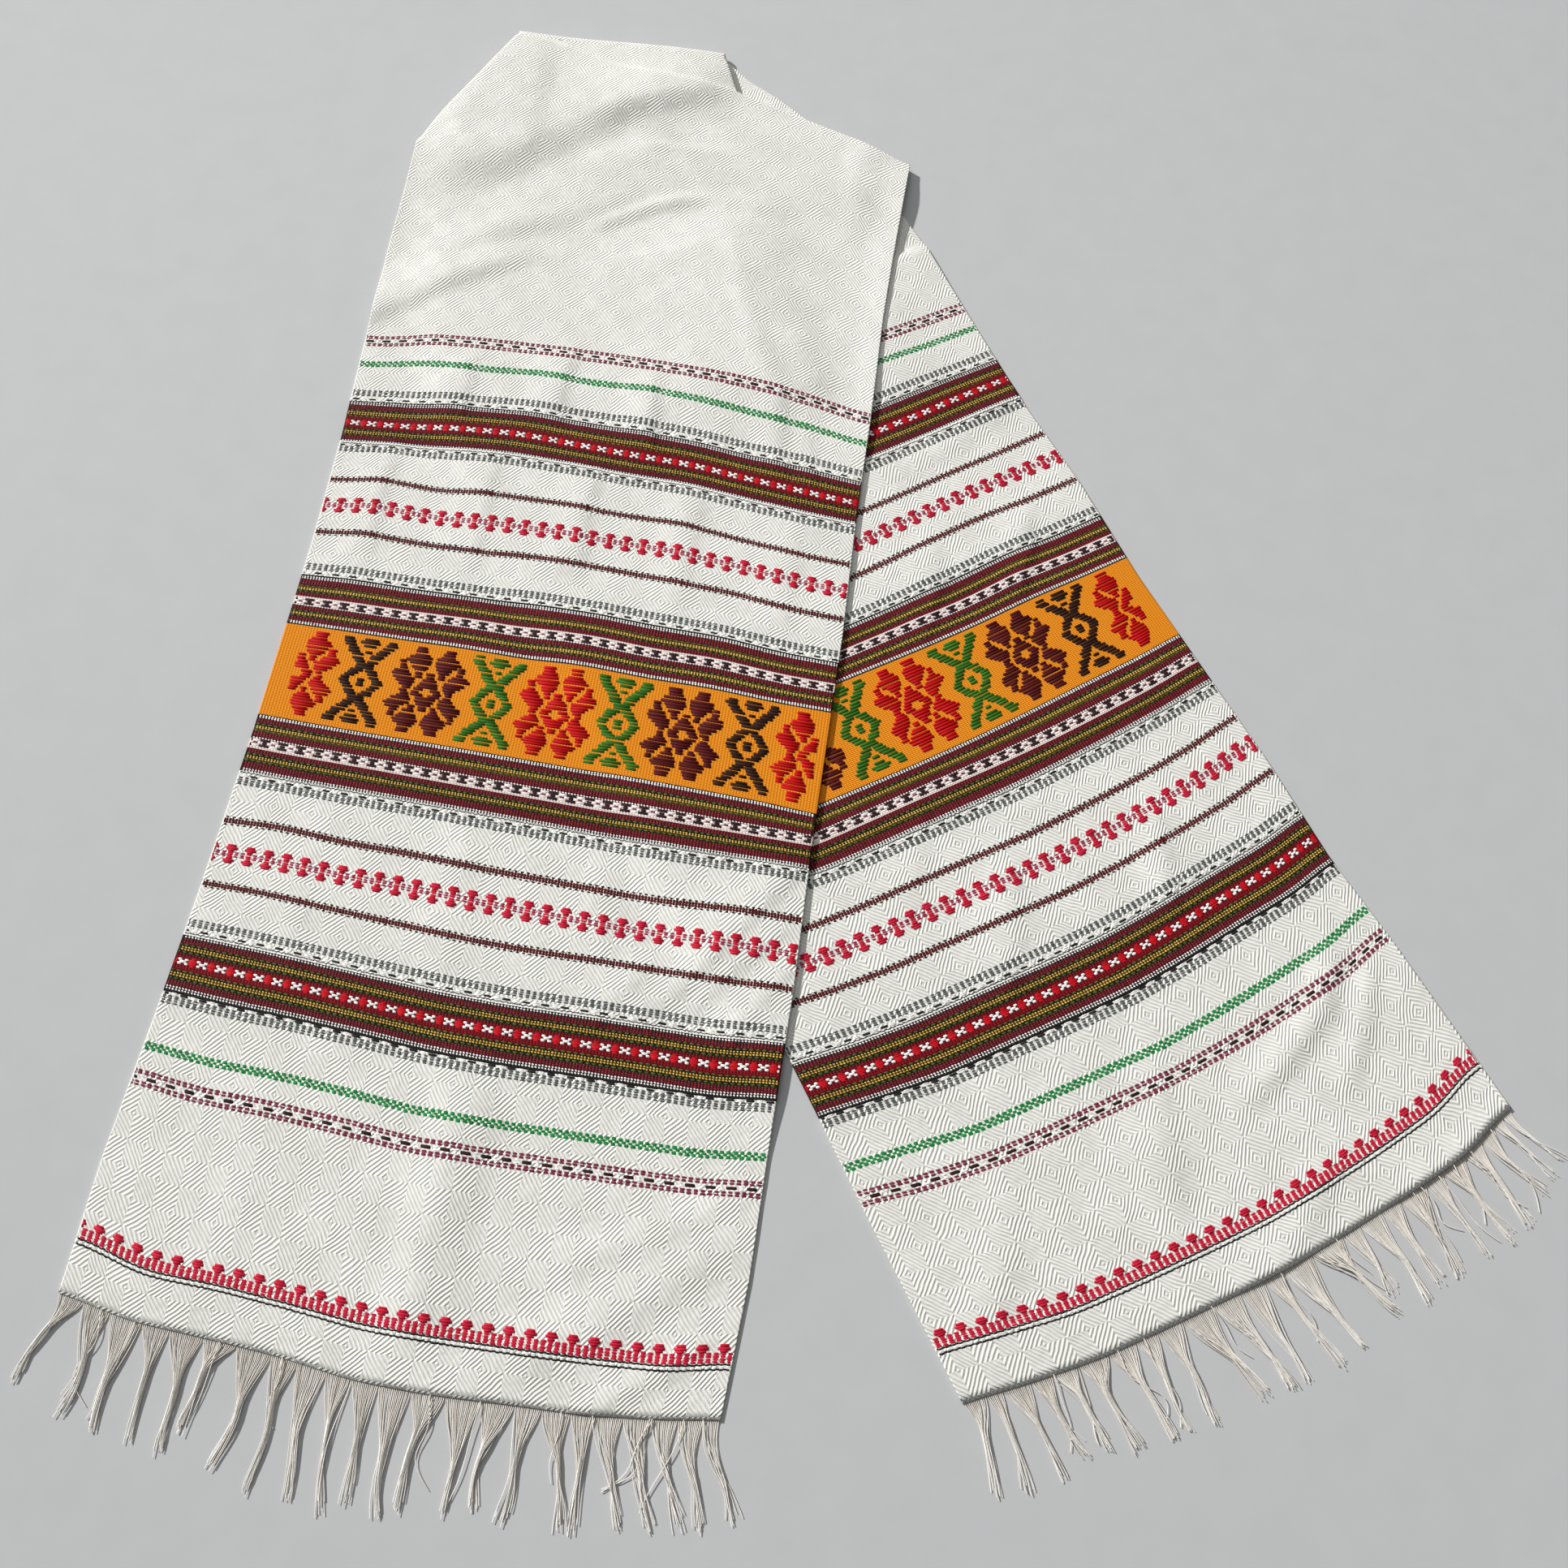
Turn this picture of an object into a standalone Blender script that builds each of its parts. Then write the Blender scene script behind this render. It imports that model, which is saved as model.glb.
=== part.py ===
"""A rushnyk ritual towel: one long woven cloth, folded over near its middle so that both ends fan out
in a V and lie face up on a flat surface, with a loose fringe along each hem.

Lengths here are in millimetres and are turned into metres where a mesh is made. The plan is seen from
above: X runs to the right, Y away from the hems, and Z up. The towel rests on Z = 0.
"""

import math

import bmesh
import bpy
import numpy as np

METRE = 0.001

# The cloth
CLOTH_THICK = 1.4
LAYER_STEP = 2.6
FLOOR_LEVEL = CLOTH_THICK / 2
HEM_ALONG = 628.0

# Each end of the towel is placed by a point on its centre line and by the way its hem points
FRONT_START = (-100.0, 250.0)
FRONT_HEADING = math.radians(-93.25)
FRONT_SKEW = 0.0274
BACK_START = (-18.7, 250.1)
BACK_HEADING = math.radians(-58.46)
BACK_SKEW = 0.0155

# Columns: distance along the end, left selvedge, right selvedge, both measured from the centre line
FRONT_SELVEDGES = (
    (-150, -188, 174),
    (-90, -187, 173),
    (0, -182, 174.5),
    (80, -177, 174.5),
    (170, -174, 176.5),
    (300, -173, 176),
    (400, -174.5, 177.5),
    (480, -177, 176.5),
    (560, -180.5, 176),
    (628, -180.3, 171.6),
)
BACK_SELVEDGES = (
    (-60, -177, 181.5),
    (0, -177, 179),
    (90, -176.5, 175.5),
    (160, -176, 177),
    (240, -176, 173.8),
    (390, -176, 176),
    (460, -176, 174),
    (520, -176.5, 177.5),
    (628, -175.6, 179.8),
)
# How far each hem sags outwards, at even steps from its left selvedge to its right one, and the distance
# along an end from which the rows begin to sag with it
FRONT_SAG = (0.0, 4.8, 7.2, 8.3, 9.7, 12.6, 14.4, 14.0, 11.9, 10.4, 8.6, 5.4, 0.0)
BACK_SAG = (0.0, 6.2, 11.4, 14.0, 15.5, 16.8, 17.9, 17.3, 15.9, 14.2, 12.0, 8.0, 0.0)
SAG_FROM = 300.0
FRONT_ROWS = 13
CREASED_FROM = 60.0
CREASED_ROWS = 9
BACK_ROWS = 15

# The turned edges of the upper layer, from the front end up to the top fold, and those of the lower
# layer, from the top fold down to the back end
UPPER_LEFT = ((-277.9, 445.3), (-263.7, 477.5), (-253.7, 494.6), (-242.0, 516.9), (-231.1, 539.5), (-220.0, 565.0))
UPPER_RIGHT = ((89.2, 469.0), (52.5, 486.9), (22.6, 498.2), (-13.6, 511.7), (-46.7, 525.0))
UPPER_SHORT = ((-46.7, 525.0), (-60.0, 564.0))
LOWER_LEFT = ((-220.0, 565.0), (-232.0, 500.0), (-240.0, 440.0), (-236.0, 370.0), (-222.0, 290.0))
LOWER_RIGHT = ((-60.0, 564.0), (-38.0, 543.2), (-17.3, 529.9), (22.6, 498.5), (57.0, 464.0), (87.0, 422.0))
DIAGONAL_ROWS = 7
SHORT_ROWS = 3
TOP_FOLD_STEPS = 6
LOWER_ROWS = 9

# The rolled edges, and the strip of cloth turned in under them
ROLL_LENGTH = math.pi * LAYER_STEP / 2
ROLL_STEPS = 4
TURNED_LEFT = 34.0
TURNED_RIGHT = 62.0
TURNED_STEPS = 2
FACE_STEPS = 12
NO_SAG = (0.0,) * (FACE_STEPS + 1)

# The upper layer stays up over the lower one for CLEAR_OUT past its edge, and is down at SETTLE_OUT
CLEAR_OUT = 34.0
SETTLE_OUT = 85.0
STACK_FROM = 395.0
STACK_TO = 452.0

# Soft ridges of the upper layer. Columns: from x, y, to x, y, height, half width
RIDGES = (
    (-290, 405, -75, 560, 3.2, 50),
    (-300, 300, -150, 398, 3.8, 48),
    (-190, 372, -20, 440, 3.4, 44),
    (-60, 428, 70, 420, 2.0, 36),
    (-170, 180, 60, 260, 1.6, 50),
)
# How soon a ridge reaches its full height along its length, as parts of half of it
RIDGE_FADE = 2.5

# The fringe
FRINGE_GAP = 0.45
ROOT_WIDTH = 5.0
LOCK_COUNT = 34
LOCK_WIDTH = 6.4
TIP_WIDTH = 3.0
LOCK_THICK = 1.4
TIP_THICK = 0.9
LOCK_STEPS = 4
# Columns: share of the hem from its left end, length of the lock, how far its tip leans to the right
FRONT_LOCKS = (
    (0.0, 40, -15),
    (0.08, 44, -6),
    (0.25, 49, -3),
    (0.55, 50, 1),
    (0.78, 49, 8),
    (0.9, 46, 17),
    (1.0, 41, 21),
)
BACK_LOCKS = (
    (0.0, 41, -10),
    (0.08, 44, -2),
    (0.3, 46, 0),
    (0.6, 46, 7),
    (0.8, 44, 5),
    (0.93, 42, 9),
    (1.0, 40, 16),
)

CLOTH_COLOUR = (0.78, 0.77, 0.72)
FRINGE_COLOUR = (0.62, 0.57, 0.50)


def smooth_step(value):
    value = np.clip(value, 0.0, 1.0)
    return value * value * (3.0 - 2.0 * value)


def column_at(table, key, column):
    """A column of a table, read smoothly at a value of its first column."""
    rows = np.array(table, float)
    return float(np.interp(key, rows[:, 0], rows[:, column]))


def along_path(path, count):
    """Points at even spacing along a bent line, ends included."""
    points = np.array(path, float)
    steps = np.hypot(*np.diff(points, axis=0).T)
    reach = np.concatenate([[0.0], np.cumsum(steps)])
    wanted = np.linspace(0.0, reach[-1], count)
    return np.stack([np.interp(wanted, reach, points[:, axis]) for axis in (0, 1)], axis=1)


def end_point(start, heading, along, side, skew):
    """A point of one end of the towel, from its distance along the end and off its centre line."""
    forward = np.array([math.cos(heading), math.sin(heading)])
    right = np.array([-forward[1], forward[0]])
    return np.array(start) + forward * (along + skew * side) + right * side


def end_rows(start, heading, skew, selvedges, stations):
    """The left and right selvedge points of one end of the towel at each station."""
    rows = []
    for along in stations:
        left = end_point(start, heading, along, column_at(selvedges, along, 1), skew)
        right = end_point(start, heading, along, column_at(selvedges, along, 2), skew)
        rows.append((left, right))
    return rows


def distance_to_path(point, path):
    """The shortest distance from a point to a bent line."""
    starts = path[:-1]
    spans = path[1:] - starts
    share = ((point - starts) * spans).sum(axis=1) / (spans**2).sum(axis=1)
    nearest = starts + spans * np.clip(share, 0.0, 1.0)[:, None]
    return float(np.hypot(*(point - nearest).T).min())


def is_inside(point, outline):
    """Whether a point lies inside a closed outline."""
    x, y = point
    near, far = outline, np.roll(outline, -1, axis=0)
    crosses = (near[:, 1] > y) != (far[:, 1] > y)
    rise = np.where(crosses, far[:, 1] - near[:, 1], 1.0)
    at_x = near[:, 0] + (y - near[:, 1]) * (far[:, 0] - near[:, 0]) / rise
    return bool(np.count_nonzero(crosses & (at_x > x)) % 2)


def ridge_height(point):
    """The rise of the soft ridges at a point, rounded across and fading out at both ends."""
    rise = 0.0
    for x1, y1, x2, y2, height, half_width in RIDGES:
        start, span = np.array([x1, y1], float), np.array([x2 - x1, y2 - y1], float)
        length = np.hypot(*span)
        share = float((point - start) @ span) / length**2
        off = abs(float((point - start) @ np.array([-span[1], span[0]])) / length)
        ends = float(smooth_step(RIDGE_FADE * min(share, 1.0 - share)))
        rise += height * ends * float(smooth_step(1.0 - off / half_width))
    return rise


def upper_level(point, lower_outline):
    """The height of the middle of the upper layer above the surface that the towel lies on."""
    out = 0.0 if is_inside(point, lower_outline) else distance_to_path(point, lower_outline)
    over_lower = 1.0 - float(smooth_step((out - CLEAR_OUT) / (SETTLE_OUT - CLEAR_OUT)))
    over_turned = float(smooth_step((point[1] - STACK_FROM) / (STACK_TO - STACK_FROM)))
    return FLOOR_LEVEL + LAYER_STEP * (over_lower + over_turned) + ridge_height(point)


def rolled_edge(roll):
    """The middle line of an edge that is turned under by an angle: (inwards, down) from its outermost
    point, running from the face of the cloth out to the end of the roll."""
    reach = np.linspace(0.0, ROLL_LENGTH, ROLL_STEPS + 1)
    if roll < 1e-6:
        return ROLL_LENGTH - reach, np.zeros(ROLL_STEPS + 1)
    radius = ROLL_LENGTH / roll
    turned = reach / radius
    out = radius * np.sin(turned)
    return (radius * math.sin(min(roll, math.pi / 2))) - out, radius * (1.0 - np.cos(turned))


def sag_at(sags, inset, width):
    """The sag of a hem at a distance in from its left selvedge, read between its even steps."""
    share = (inset - ROLL_LENGTH) / (width - 2 * ROLL_LENGTH)
    return float(np.interp(share * FACE_STEPS, range(FACE_STEPS + 1), sags))


def section(left, right, roll, level_at, sags=NO_SAG, sag_share=0.0):
    """One row of the cloth: a weft line between two edge points, rolled under at both ends, and sagging
    outwards by a share of the hem's own sag."""
    width = np.hypot(*(right - left))
    across = (right - left) / width
    outwards = np.array([across[1], -across[0]])
    inwards, down = rolled_edge(roll)
    face_left = left + across * inwards[0]
    face_right = right - across * inwards[0]
    points = []
    for inset, drop in zip(inwards[::-1], down[::-1]):
        place = left + across * inset
        points.append((place[0], place[1], level_at(face_left) - drop))
    for step in range(1, FACE_STEPS):
        place = face_left + (face_right - face_left) * step / FACE_STEPS
        place = place + outwards * sags[step] * sag_share
        points.append((place[0], place[1], level_at(place)))
    for inset, drop in zip(inwards, down):
        place = right - across * inset
        points.append((place[0], place[1], level_at(face_right) - drop))
    return points


def flat_level(point):
    return FLOOR_LEVEL


def cloth_sections():
    """Every row of the cloth, from the front hem over the top fold to the back hem, and the numbers of
    the first and last row whose edges are turned right under."""
    plain = np.linspace(HEM_ALONG, CREASED_FROM, FRONT_ROWS)[:-1]
    creased = np.linspace(CREASED_FROM, FRONT_SELVEDGES[0][0], CREASED_ROWS)
    front = np.concatenate([plain, creased])
    back = np.linspace(BACK_SELVEDGES[0][0], HEM_ALONG, BACK_ROWS)
    front_rows = end_rows(FRONT_START, FRONT_HEADING, FRONT_SKEW, FRONT_SELVEDGES, front)
    back_rows = end_rows(BACK_START, BACK_HEADING, BACK_SKEW, BACK_SELVEDGES, back)
    lower_left = along_path(LOWER_LEFT + (tuple(back_rows[0][0]),), LOWER_ROWS + 2)[1:-1]
    lower_right = along_path(LOWER_RIGHT + (tuple(back_rows[0][1]),), LOWER_ROWS + 2)[1:-1]
    lower_rows = list(zip(lower_left, lower_right))
    lefts = [LOWER_LEFT[0]] + [row[0] for row in lower_rows + back_rows]
    rights = [row[1] for row in back_rows[::-1] + lower_rows[::-1]] + [LOWER_RIGHT[0]]
    lower_outline = np.array(lefts + rights, float)

    def level_at(point):
        return upper_level(point, lower_outline)

    def sag_share(along):
        return max(0.0, (along - SAG_FROM) / (HEM_ALONG - SAG_FROM))

    sections = []
    for along, (left, right) in zip(front, front_rows):
        sections.append(section(left, right, 0.0, level_at, FRONT_SAG, sag_share(along)))
    diagonal = along_path(UPPER_RIGHT, DIAGONAL_ROWS + 1)
    short = along_path(UPPER_SHORT, SHORT_ROWS + 1)[1:]
    turned_right = np.concatenate([diagonal, short])
    turned_left = along_path(UPPER_LEFT, len(turned_right))
    rolls = np.full(len(turned_right), math.pi)
    rolls[:2] = (0.0, math.pi / 2)
    rolls[-1] = 0.0
    first = len(sections) + 2
    last = len(sections) + len(turned_right) - 2
    for left, right, roll in zip(turned_left, turned_right, rolls):
        sections.append(section(left, right, roll, level_at))

    top = np.array(sections[-1])
    centre = (top[:, 2] + FLOOR_LEVEL) / 2
    for step in range(1, TOP_FOLD_STEPS):
        angle = math.pi * step / TOP_FOLD_STEPS
        radius = top[:, 2] - centre
        bulge = top[:, 1] + radius * math.sin(angle)
        heights = centre + radius * math.cos(angle)
        sections.append(list(zip(top[:, 0], bulge, heights)))
    sections.append([(x, y, FLOOR_LEVEL) for x, y, _ in top])
    sections += [section(left, right, 0.0, flat_level) for left, right in lower_rows]
    for along, (left, right) in zip(back, back_rows):
        sections.append(section(left, right, 0.0, flat_level, BACK_SAG, sag_share(along)))
    return sections, first, last


def add_turned_strip(mesh, rows, side, first, last, width):
    """Adds the cloth turned in under one edge: it widens from nothing at the row where the turn begins."""
    end = 0 if side < 0 else -1
    edges = [rows[number][end] for number in range(first, last + 1)]
    previous = edges
    for step in range(1, TURNED_STEPS + 1):
        line = [edges[0]]
        for place, edge in enumerate(edges[1:], start=1):
            row = rows[first + place]
            inwards = (row[-1 - ROLL_STEPS].co - row[ROLL_STEPS].co).normalized() * -side
            share = min(1.0, place / (len(edges) - 3))
            shift = inwards * width * METRE * share * step / TURNED_STEPS
            line.append(mesh.verts.new((edge.co.x + shift.x, edge.co.y + shift.y, edge.co.z)))
        for place in range(len(edges) - 1):
            corners = [previous[place], previous[place + 1], line[place + 1], line[place]]
            corners = list(dict.fromkeys(corners))
            mesh.faces.new(corners if side < 0 else corners[::-1])
        previous = line


def new_object(name, mesh, colour, roughness):
    """Makes an object in the towel's collection from a finished mesh, with its own material."""
    data = bpy.data.meshes.new(name)
    mesh.to_mesh(data)
    mesh.free()
    made = bpy.data.objects.new(name, data)
    collection.objects.link(made)
    finish = bpy.data.materials.new(name)
    finish.use_nodes = True
    shader = finish.node_tree.nodes["Principled BSDF"]
    shader.inputs["Base Color"].default_value = (*colour, 1.0)
    shader.inputs["Roughness"].default_value = roughness
    shader.inputs["Metallic"].default_value = 0.0
    data.materials.append(finish)
    return made


def make_cloth():
    """The towel itself: a loft through its rows, given its thickness afterwards."""
    sections, first, last = cloth_sections()
    mesh = bmesh.new()
    rows = [[mesh.verts.new([value * METRE for value in point]) for point in line] for line in sections]
    for near, far in zip(rows, rows[1:]):
        for column in range(len(near) - 1):
            mesh.faces.new((near[column], near[column + 1], far[column + 1], far[column]))
    add_turned_strip(mesh, rows, -1, first, last, TURNED_LEFT)
    add_turned_strip(mesh, rows, 1, first, last, TURNED_RIGHT)
    bmesh.ops.recalc_face_normals(mesh, faces=mesh.faces)
    cloth = new_object("cloth", mesh, CLOTH_COLOUR, 0.9)
    solid = cloth.modifiers.new("thickness", "SOLIDIFY")
    solid.thickness = CLOTH_THICK * METRE
    solid.offset = 0.0
    return cloth


def make_fringe(name, start, heading, skew, selvedges, sags, locks, seed):
    """A fringe: a narrow strip just outside the hem, out of which the locks are drawn one by one."""
    random = np.random.default_rng(seed)
    left = end_point(start, heading, HEM_ALONG, column_at(selvedges, HEM_ALONG, 1), skew)
    right = end_point(start, heading, HEM_ALONG, column_at(selvedges, HEM_ALONG, 2), skew)
    across = (right - left) / np.hypot(*(right - left))
    outwards = np.array([across[1], -across[0]])
    hem = np.hypot(*(right - left))
    pitch = hem / LOCK_COUNT
    gap = pitch - LOCK_WIDTH
    stops = [0.0]
    for number in range(LOCK_COUNT):
        stops += [number * pitch + gap / 2, number * pitch + gap / 2 + LOCK_WIDTH]
    stops.append(hem)

    mesh = bmesh.new()
    ring = []
    for stop in stops:
        root = left + across * stop + outwards * (FRINGE_GAP + sag_at(sags, stop, hem))
        lip = root + outwards * ROOT_WIDTH
        corners = ((root, 0.0), (lip, 0.0), (lip, LOCK_THICK), (root, LOCK_THICK))
        ring.append([mesh.verts.new((x * METRE, y * METRE, z * METRE)) for (x, y), z in corners])
    for near, far in zip(ring, ring[1:]):
        for side in range(4):
            other = (side + 1) % 4
            mesh.faces.new((near[side], far[side], far[other], near[other]))
    mesh.faces.new(ring[0])
    mesh.faces.new(ring[-1][::-1])
    for number in range(LOCK_COUNT):
        share = (number + 0.5) / LOCK_COUNT
        length = column_at(locks, share, 1) * random.uniform(0.92, 1.04)
        lean = column_at(locks, share, 2) + random.uniform(-1.2, 1.2)
        near, far = ring[2 * number + 1], ring[2 * number + 2]
        centred = (number + 0.5) * pitch
        below = FRINGE_GAP + sag_at(sags, centred, hem) + ROOT_WIDTH
        middle = left + across * centred + outwards * below
        loop = [near[1], far[1], far[2], near[2]]
        root_face = next(face for face in near[1].link_faces if set(loop) == set(face.verts))
        mesh.faces.remove(root_face)
        for step in range(1, LOCK_STEPS + 1):
            reach = step / LOCK_STEPS
            half = (LOCK_WIDTH + (TIP_WIDTH - LOCK_WIDTH) * reach) / 2
            thick = LOCK_THICK + (TIP_THICK - LOCK_THICK) * reach
            centre = middle + outwards * (length * reach) + across * (lean * reach**1.5)
            corners = ((-half, 0.0), (half, 0.0), (half, thick), (-half, thick))
            following = []
            for offset, height in corners:
                place = centre + across * offset
                following.append(mesh.verts.new((place[0] * METRE, place[1] * METRE, height * METRE)))
            for side in range(4):
                other = (side + 1) % 4
                mesh.faces.new((loop[side], loop[other], following[other], following[side]))
            loop = following
        mesh.faces.new(loop)
    bmesh.ops.recalc_face_normals(mesh, faces=mesh.faces)
    return new_object(name, mesh, FRINGE_COLOUR, 0.95)


def centre_on_surface(pieces):
    """Moves every mesh so that the whole towel's box is centred on the origin and stands on Z = 0."""
    bpy.context.view_layer.update()
    corners = [np.array(piece.evaluated_get(bpy.context.evaluated_depsgraph_get()).bound_box) for piece in pieces]
    corners = np.concatenate(corners)
    low, high = corners.min(axis=0), corners.max(axis=0)
    shift = ((low[0] + high[0]) / 2, (low[1] + high[1]) / 2, low[2])
    for piece in pieces:
        for vertex in piece.data.vertices:
            vertex.co.x -= shift[0]
            vertex.co.y -= shift[1]
            vertex.co.z -= shift[2]


for old in list(bpy.data.objects):
    bpy.data.objects.remove(old, do_unlink=True)
collection = bpy.data.collections.new("rushnyk_ritual_towel")
bpy.context.scene.collection.children.link(collection)

ends = (
    ("fringe_front", FRONT_START, FRONT_HEADING, FRONT_SKEW, FRONT_SELVEDGES, FRONT_SAG, FRONT_LOCKS, 11),
    ("fringe_back", BACK_START, BACK_HEADING, BACK_SKEW, BACK_SELVEDGES, BACK_SAG, BACK_LOCKS, 12),
)
centre_on_surface([make_cloth()] + [make_fringe(*end) for end in ends])
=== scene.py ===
# %% [markdown]
# A rushnyk is a ritual towel: one long, narrow cloth, woven in white cotton, with bands of coloured yarn
# at both ends and a fringe of its own warp threads. This one is folded over near its middle, so that both
# ends lie face up and fan out in a V. Its place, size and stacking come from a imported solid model. Here
# the cloth gets its weave, its raised pattern, its creases and its threads, all in that solid's space.
# %% Load the solid model
import math

import bpy
import numpy as np
from mathutils import Matrix, Vector


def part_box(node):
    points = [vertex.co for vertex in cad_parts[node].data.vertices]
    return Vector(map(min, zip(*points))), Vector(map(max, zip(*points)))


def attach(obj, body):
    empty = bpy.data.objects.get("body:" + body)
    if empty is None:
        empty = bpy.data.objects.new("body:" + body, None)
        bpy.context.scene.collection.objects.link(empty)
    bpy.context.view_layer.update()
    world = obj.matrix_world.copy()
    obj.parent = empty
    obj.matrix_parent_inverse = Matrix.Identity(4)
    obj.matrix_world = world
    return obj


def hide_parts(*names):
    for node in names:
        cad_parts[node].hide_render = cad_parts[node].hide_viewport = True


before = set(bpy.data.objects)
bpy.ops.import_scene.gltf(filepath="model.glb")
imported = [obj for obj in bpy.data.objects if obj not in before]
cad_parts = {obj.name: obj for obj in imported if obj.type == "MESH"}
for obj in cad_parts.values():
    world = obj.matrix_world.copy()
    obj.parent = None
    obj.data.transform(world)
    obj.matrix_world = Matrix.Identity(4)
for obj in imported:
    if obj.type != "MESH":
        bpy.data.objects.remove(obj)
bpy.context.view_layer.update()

# %% [markdown]
# A maker of cloth thinks in two directions: across the width, from selvedge to selvedge, and along the
# length, row by row. Both ends of the towel are the same weave, so one pattern can serve twice, if every
# point of it is named by its side (millimetres off the centre line) and its row (millimetres from the
# first row of pattern towards the hem). These tables say where each end lies: a start, a heading, how
# much its rows slant, and where its two selvedges run. The numbers are the solid model's own.
# %% Where the two ends lie
MM = 0.001
HEM_ROW = 628.0
FRONT = {
    "start": (-100.0, 250.0),
    "heading": math.radians(-93.25),
    "skew": 0.0274,
    # Columns: distance along the end, left selvedge, right selvedge
    "selvedges": (
        (-150, -188, 174),
        (-90, -187, 173),
        (0, -182, 174.5),
        (80, -177, 174.5),
        (170, -174, 176.5),
        (300, -173, 176),
        (400, -174.5, 177.5),
        (480, -177, 176.5),
        (560, -180.5, 176),
        (628, -180.3, 171.6),
    ),
}
BACK = {
    "start": (-18.7, 250.1),
    "heading": math.radians(-58.46),
    "skew": 0.0155,
    "selvedges": (
        (-60, -177, 181.5),
        (0, -177, 179),
        (90, -176.5, 175.5),
        (160, -176, 177),
        (240, -176, 173.8),
        (390, -176, 176),
        (460, -176, 174),
        (520, -176.5, 177.5),
        (628, -175.6, 179.8),
    ),
}

# %% [markdown]
# Hand-woven rows are never straight once the cloth lies loose. Each row sags towards the hem or bows away
# from it, and wavers where the cloth beneath is rucked. The tables below give that sag in millimetres,
# row by row, at ten places across. They are blended into a smooth field, so the threads between the
# listed rows follow along, as neighbouring threads in a real weave have to.
# %% How the rows sag
SAG_SIDES = (-178, -140, -100, -60, -20, 20, 60, 100, 140, 174)
# Columns: row, then the sag at each of the ten sides
FRONT["sag"] = (
    (0, 1.2, -7, -11.2, -13.2, -15, -14.5, -13.2, -10.5, -5.7, 1.2),
    (19, 1.5, -7, -8.5, -13, -12.3, -14, -11.5, -7, -4, 2.2),
    (67.1, 2.1, -1.6, -5.9, -9.6, -8.4, -7.1, -7.1, -3.4, -0.6, 1.6),
    (116, 0.5, -6.5, -5, -8.3, -9.3, -8, -9, -4.3, -0.3, 1),
    (137.6, -1.4, -6.9, -5.6, -7.6, -8.4, -8.4, -8.4, -6.1, -2.1, -0.6),
    (157.4, 0, -5.4, -4.2, -5.4, -7.9, -7.4, -6.2, -5.4, -0.4, 0.8),
    (208.8, 0, -1.6, -2.6, -4.6, -4.3, -5.8, -3.8, -4.6, -1.3, -0.8),
    (258.5, 0, 0, 0, 0, 0, 0, 0, 0, 0, 0),
    (291.4, -2, -1.5, -1.5, -2, -2, -2, -1.5, -1, 0, 2.5),
    (308.9, -0.7, 0, 0.1, 0.6, 1.1, 1.2, 1.5, 1.6, 1.6, 1.6),
    (334, -1, 0, 0, 0, 0, 0.5, 1, 1, 0, -0.5),
    (358.4, 2.3, 0, 3, 2.8, 4.3, 4.8, 5.3, 5.3, 2.8, 2.3),
    (377, 3.7, 3.5, 4.5, 4.7, 5.7, 6, 6.7, 6, 5.2, 5.2),
    (397.7, 2.8, 2.5, 4.8, 6.8, 8.8, 9.3, 8, 7.5, 7, 5),
    (449, -0.8, 1, 2.5, 4.7, 7, 7.2, 6, 5.2, 4.7, 0.7),
    (496.6, 0, 3.6, 4.1, 6.1, 9.4, 9.1, 7.9, 6.6, 5.1, 0.4),
    (514.6, -0.4, 4.1, 4.6, 6.6, 9.6, 9.1, 7.4, 6.1, 4.6, 0.4),
    (602.5, -0.5, 10, 10.5, 13.2, 16.5, 16, 14.5, 12.5, 9.5, 2),
    (628, 0.7, 7.5, 9, 11, 15.7, 16, 13.7, 12, 7.5, 2),
)
BACK["sag"] = (
    (0, 0, 0, 0, 0, 0, 0, 0, -0.5, -0.5, -1),
    (19, 0, 0, 0, 0, 0, 0, -1, -2, -1, -1.5),
    (67.1, 0, 0, 0, 0, 0, 0, 1, 1, -0.9, -0.9),
    (116, 3, 4, 5, 6, 7, 7.2, 6, 4, 3.5, 1.7),
    (137.6, 2, 4, 5, 6, 6, 5.1, 2.9, 1.1, 0.4, 0.4),
    (157.4, 2, 4, 6, 8, 8.2, 7.2, 4.3, 2.1, 3.3, 2.1),
    (208.8, 1, 2, 3, 4, 4.4, 4.2, 4.4, 1.7, 2.4, 1.7),
    (225.6, 1, 2, 3.5, 4.4, 5, 5.6, 5, 3, 2.6, 2),
    (291.4, 2, 5, 7, 8, 8.6, 8.1, 6.1, 4, 2.3, -0.7),
    (308.9, 2, 6, 8.6, 8.6, 8.6, 9, 8.6, 6.6, 4.1, 0),
    (334, 2, 6, 9.5, 10, 10.5, 11, 9.2, 7.2, 4, 0),
    (358.4, 2, 6.5, 9, 9.8, 10.6, 11.6, 9.8, 7.6, 3.6, -2.2),
    (377, 2, 8, 10, 10.5, 12, 13, 11.5, 9, 4.7, -1.5),
    (397.7, 2, 7.5, 11, 11.8, 13, 14.3, 12.8, 9.8, 6, 0),
    (449, 1, 6.2, 9.7, 11, 12.5, 13, 10.5, 6.7, 4, -2),
    (496.6, 0, 5.9, 13.4, 14.9, 16.4, 18.4, 15.9, 12.6, 8.9, 0.4),
    (514.6, 0.4, 9.1, 14.1, 16.1, 17.1, 18.4, 16.9, 13.4, 9.1, 0.4),
    (602.5, -1.5, 6.2, 13.7, 16.5, 18.7, 20.2, 18.5, 15.7, 11.5, 0.7),
    (628, 0.7, 8, 14, 16.7, 18.7, 19.7, 18.5, 16.5, 13.2, 3.2),
)
FIELD_STEP = 4.0
FIELD_SIDES = np.arange(-200, 201, FIELD_STEP)
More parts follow.
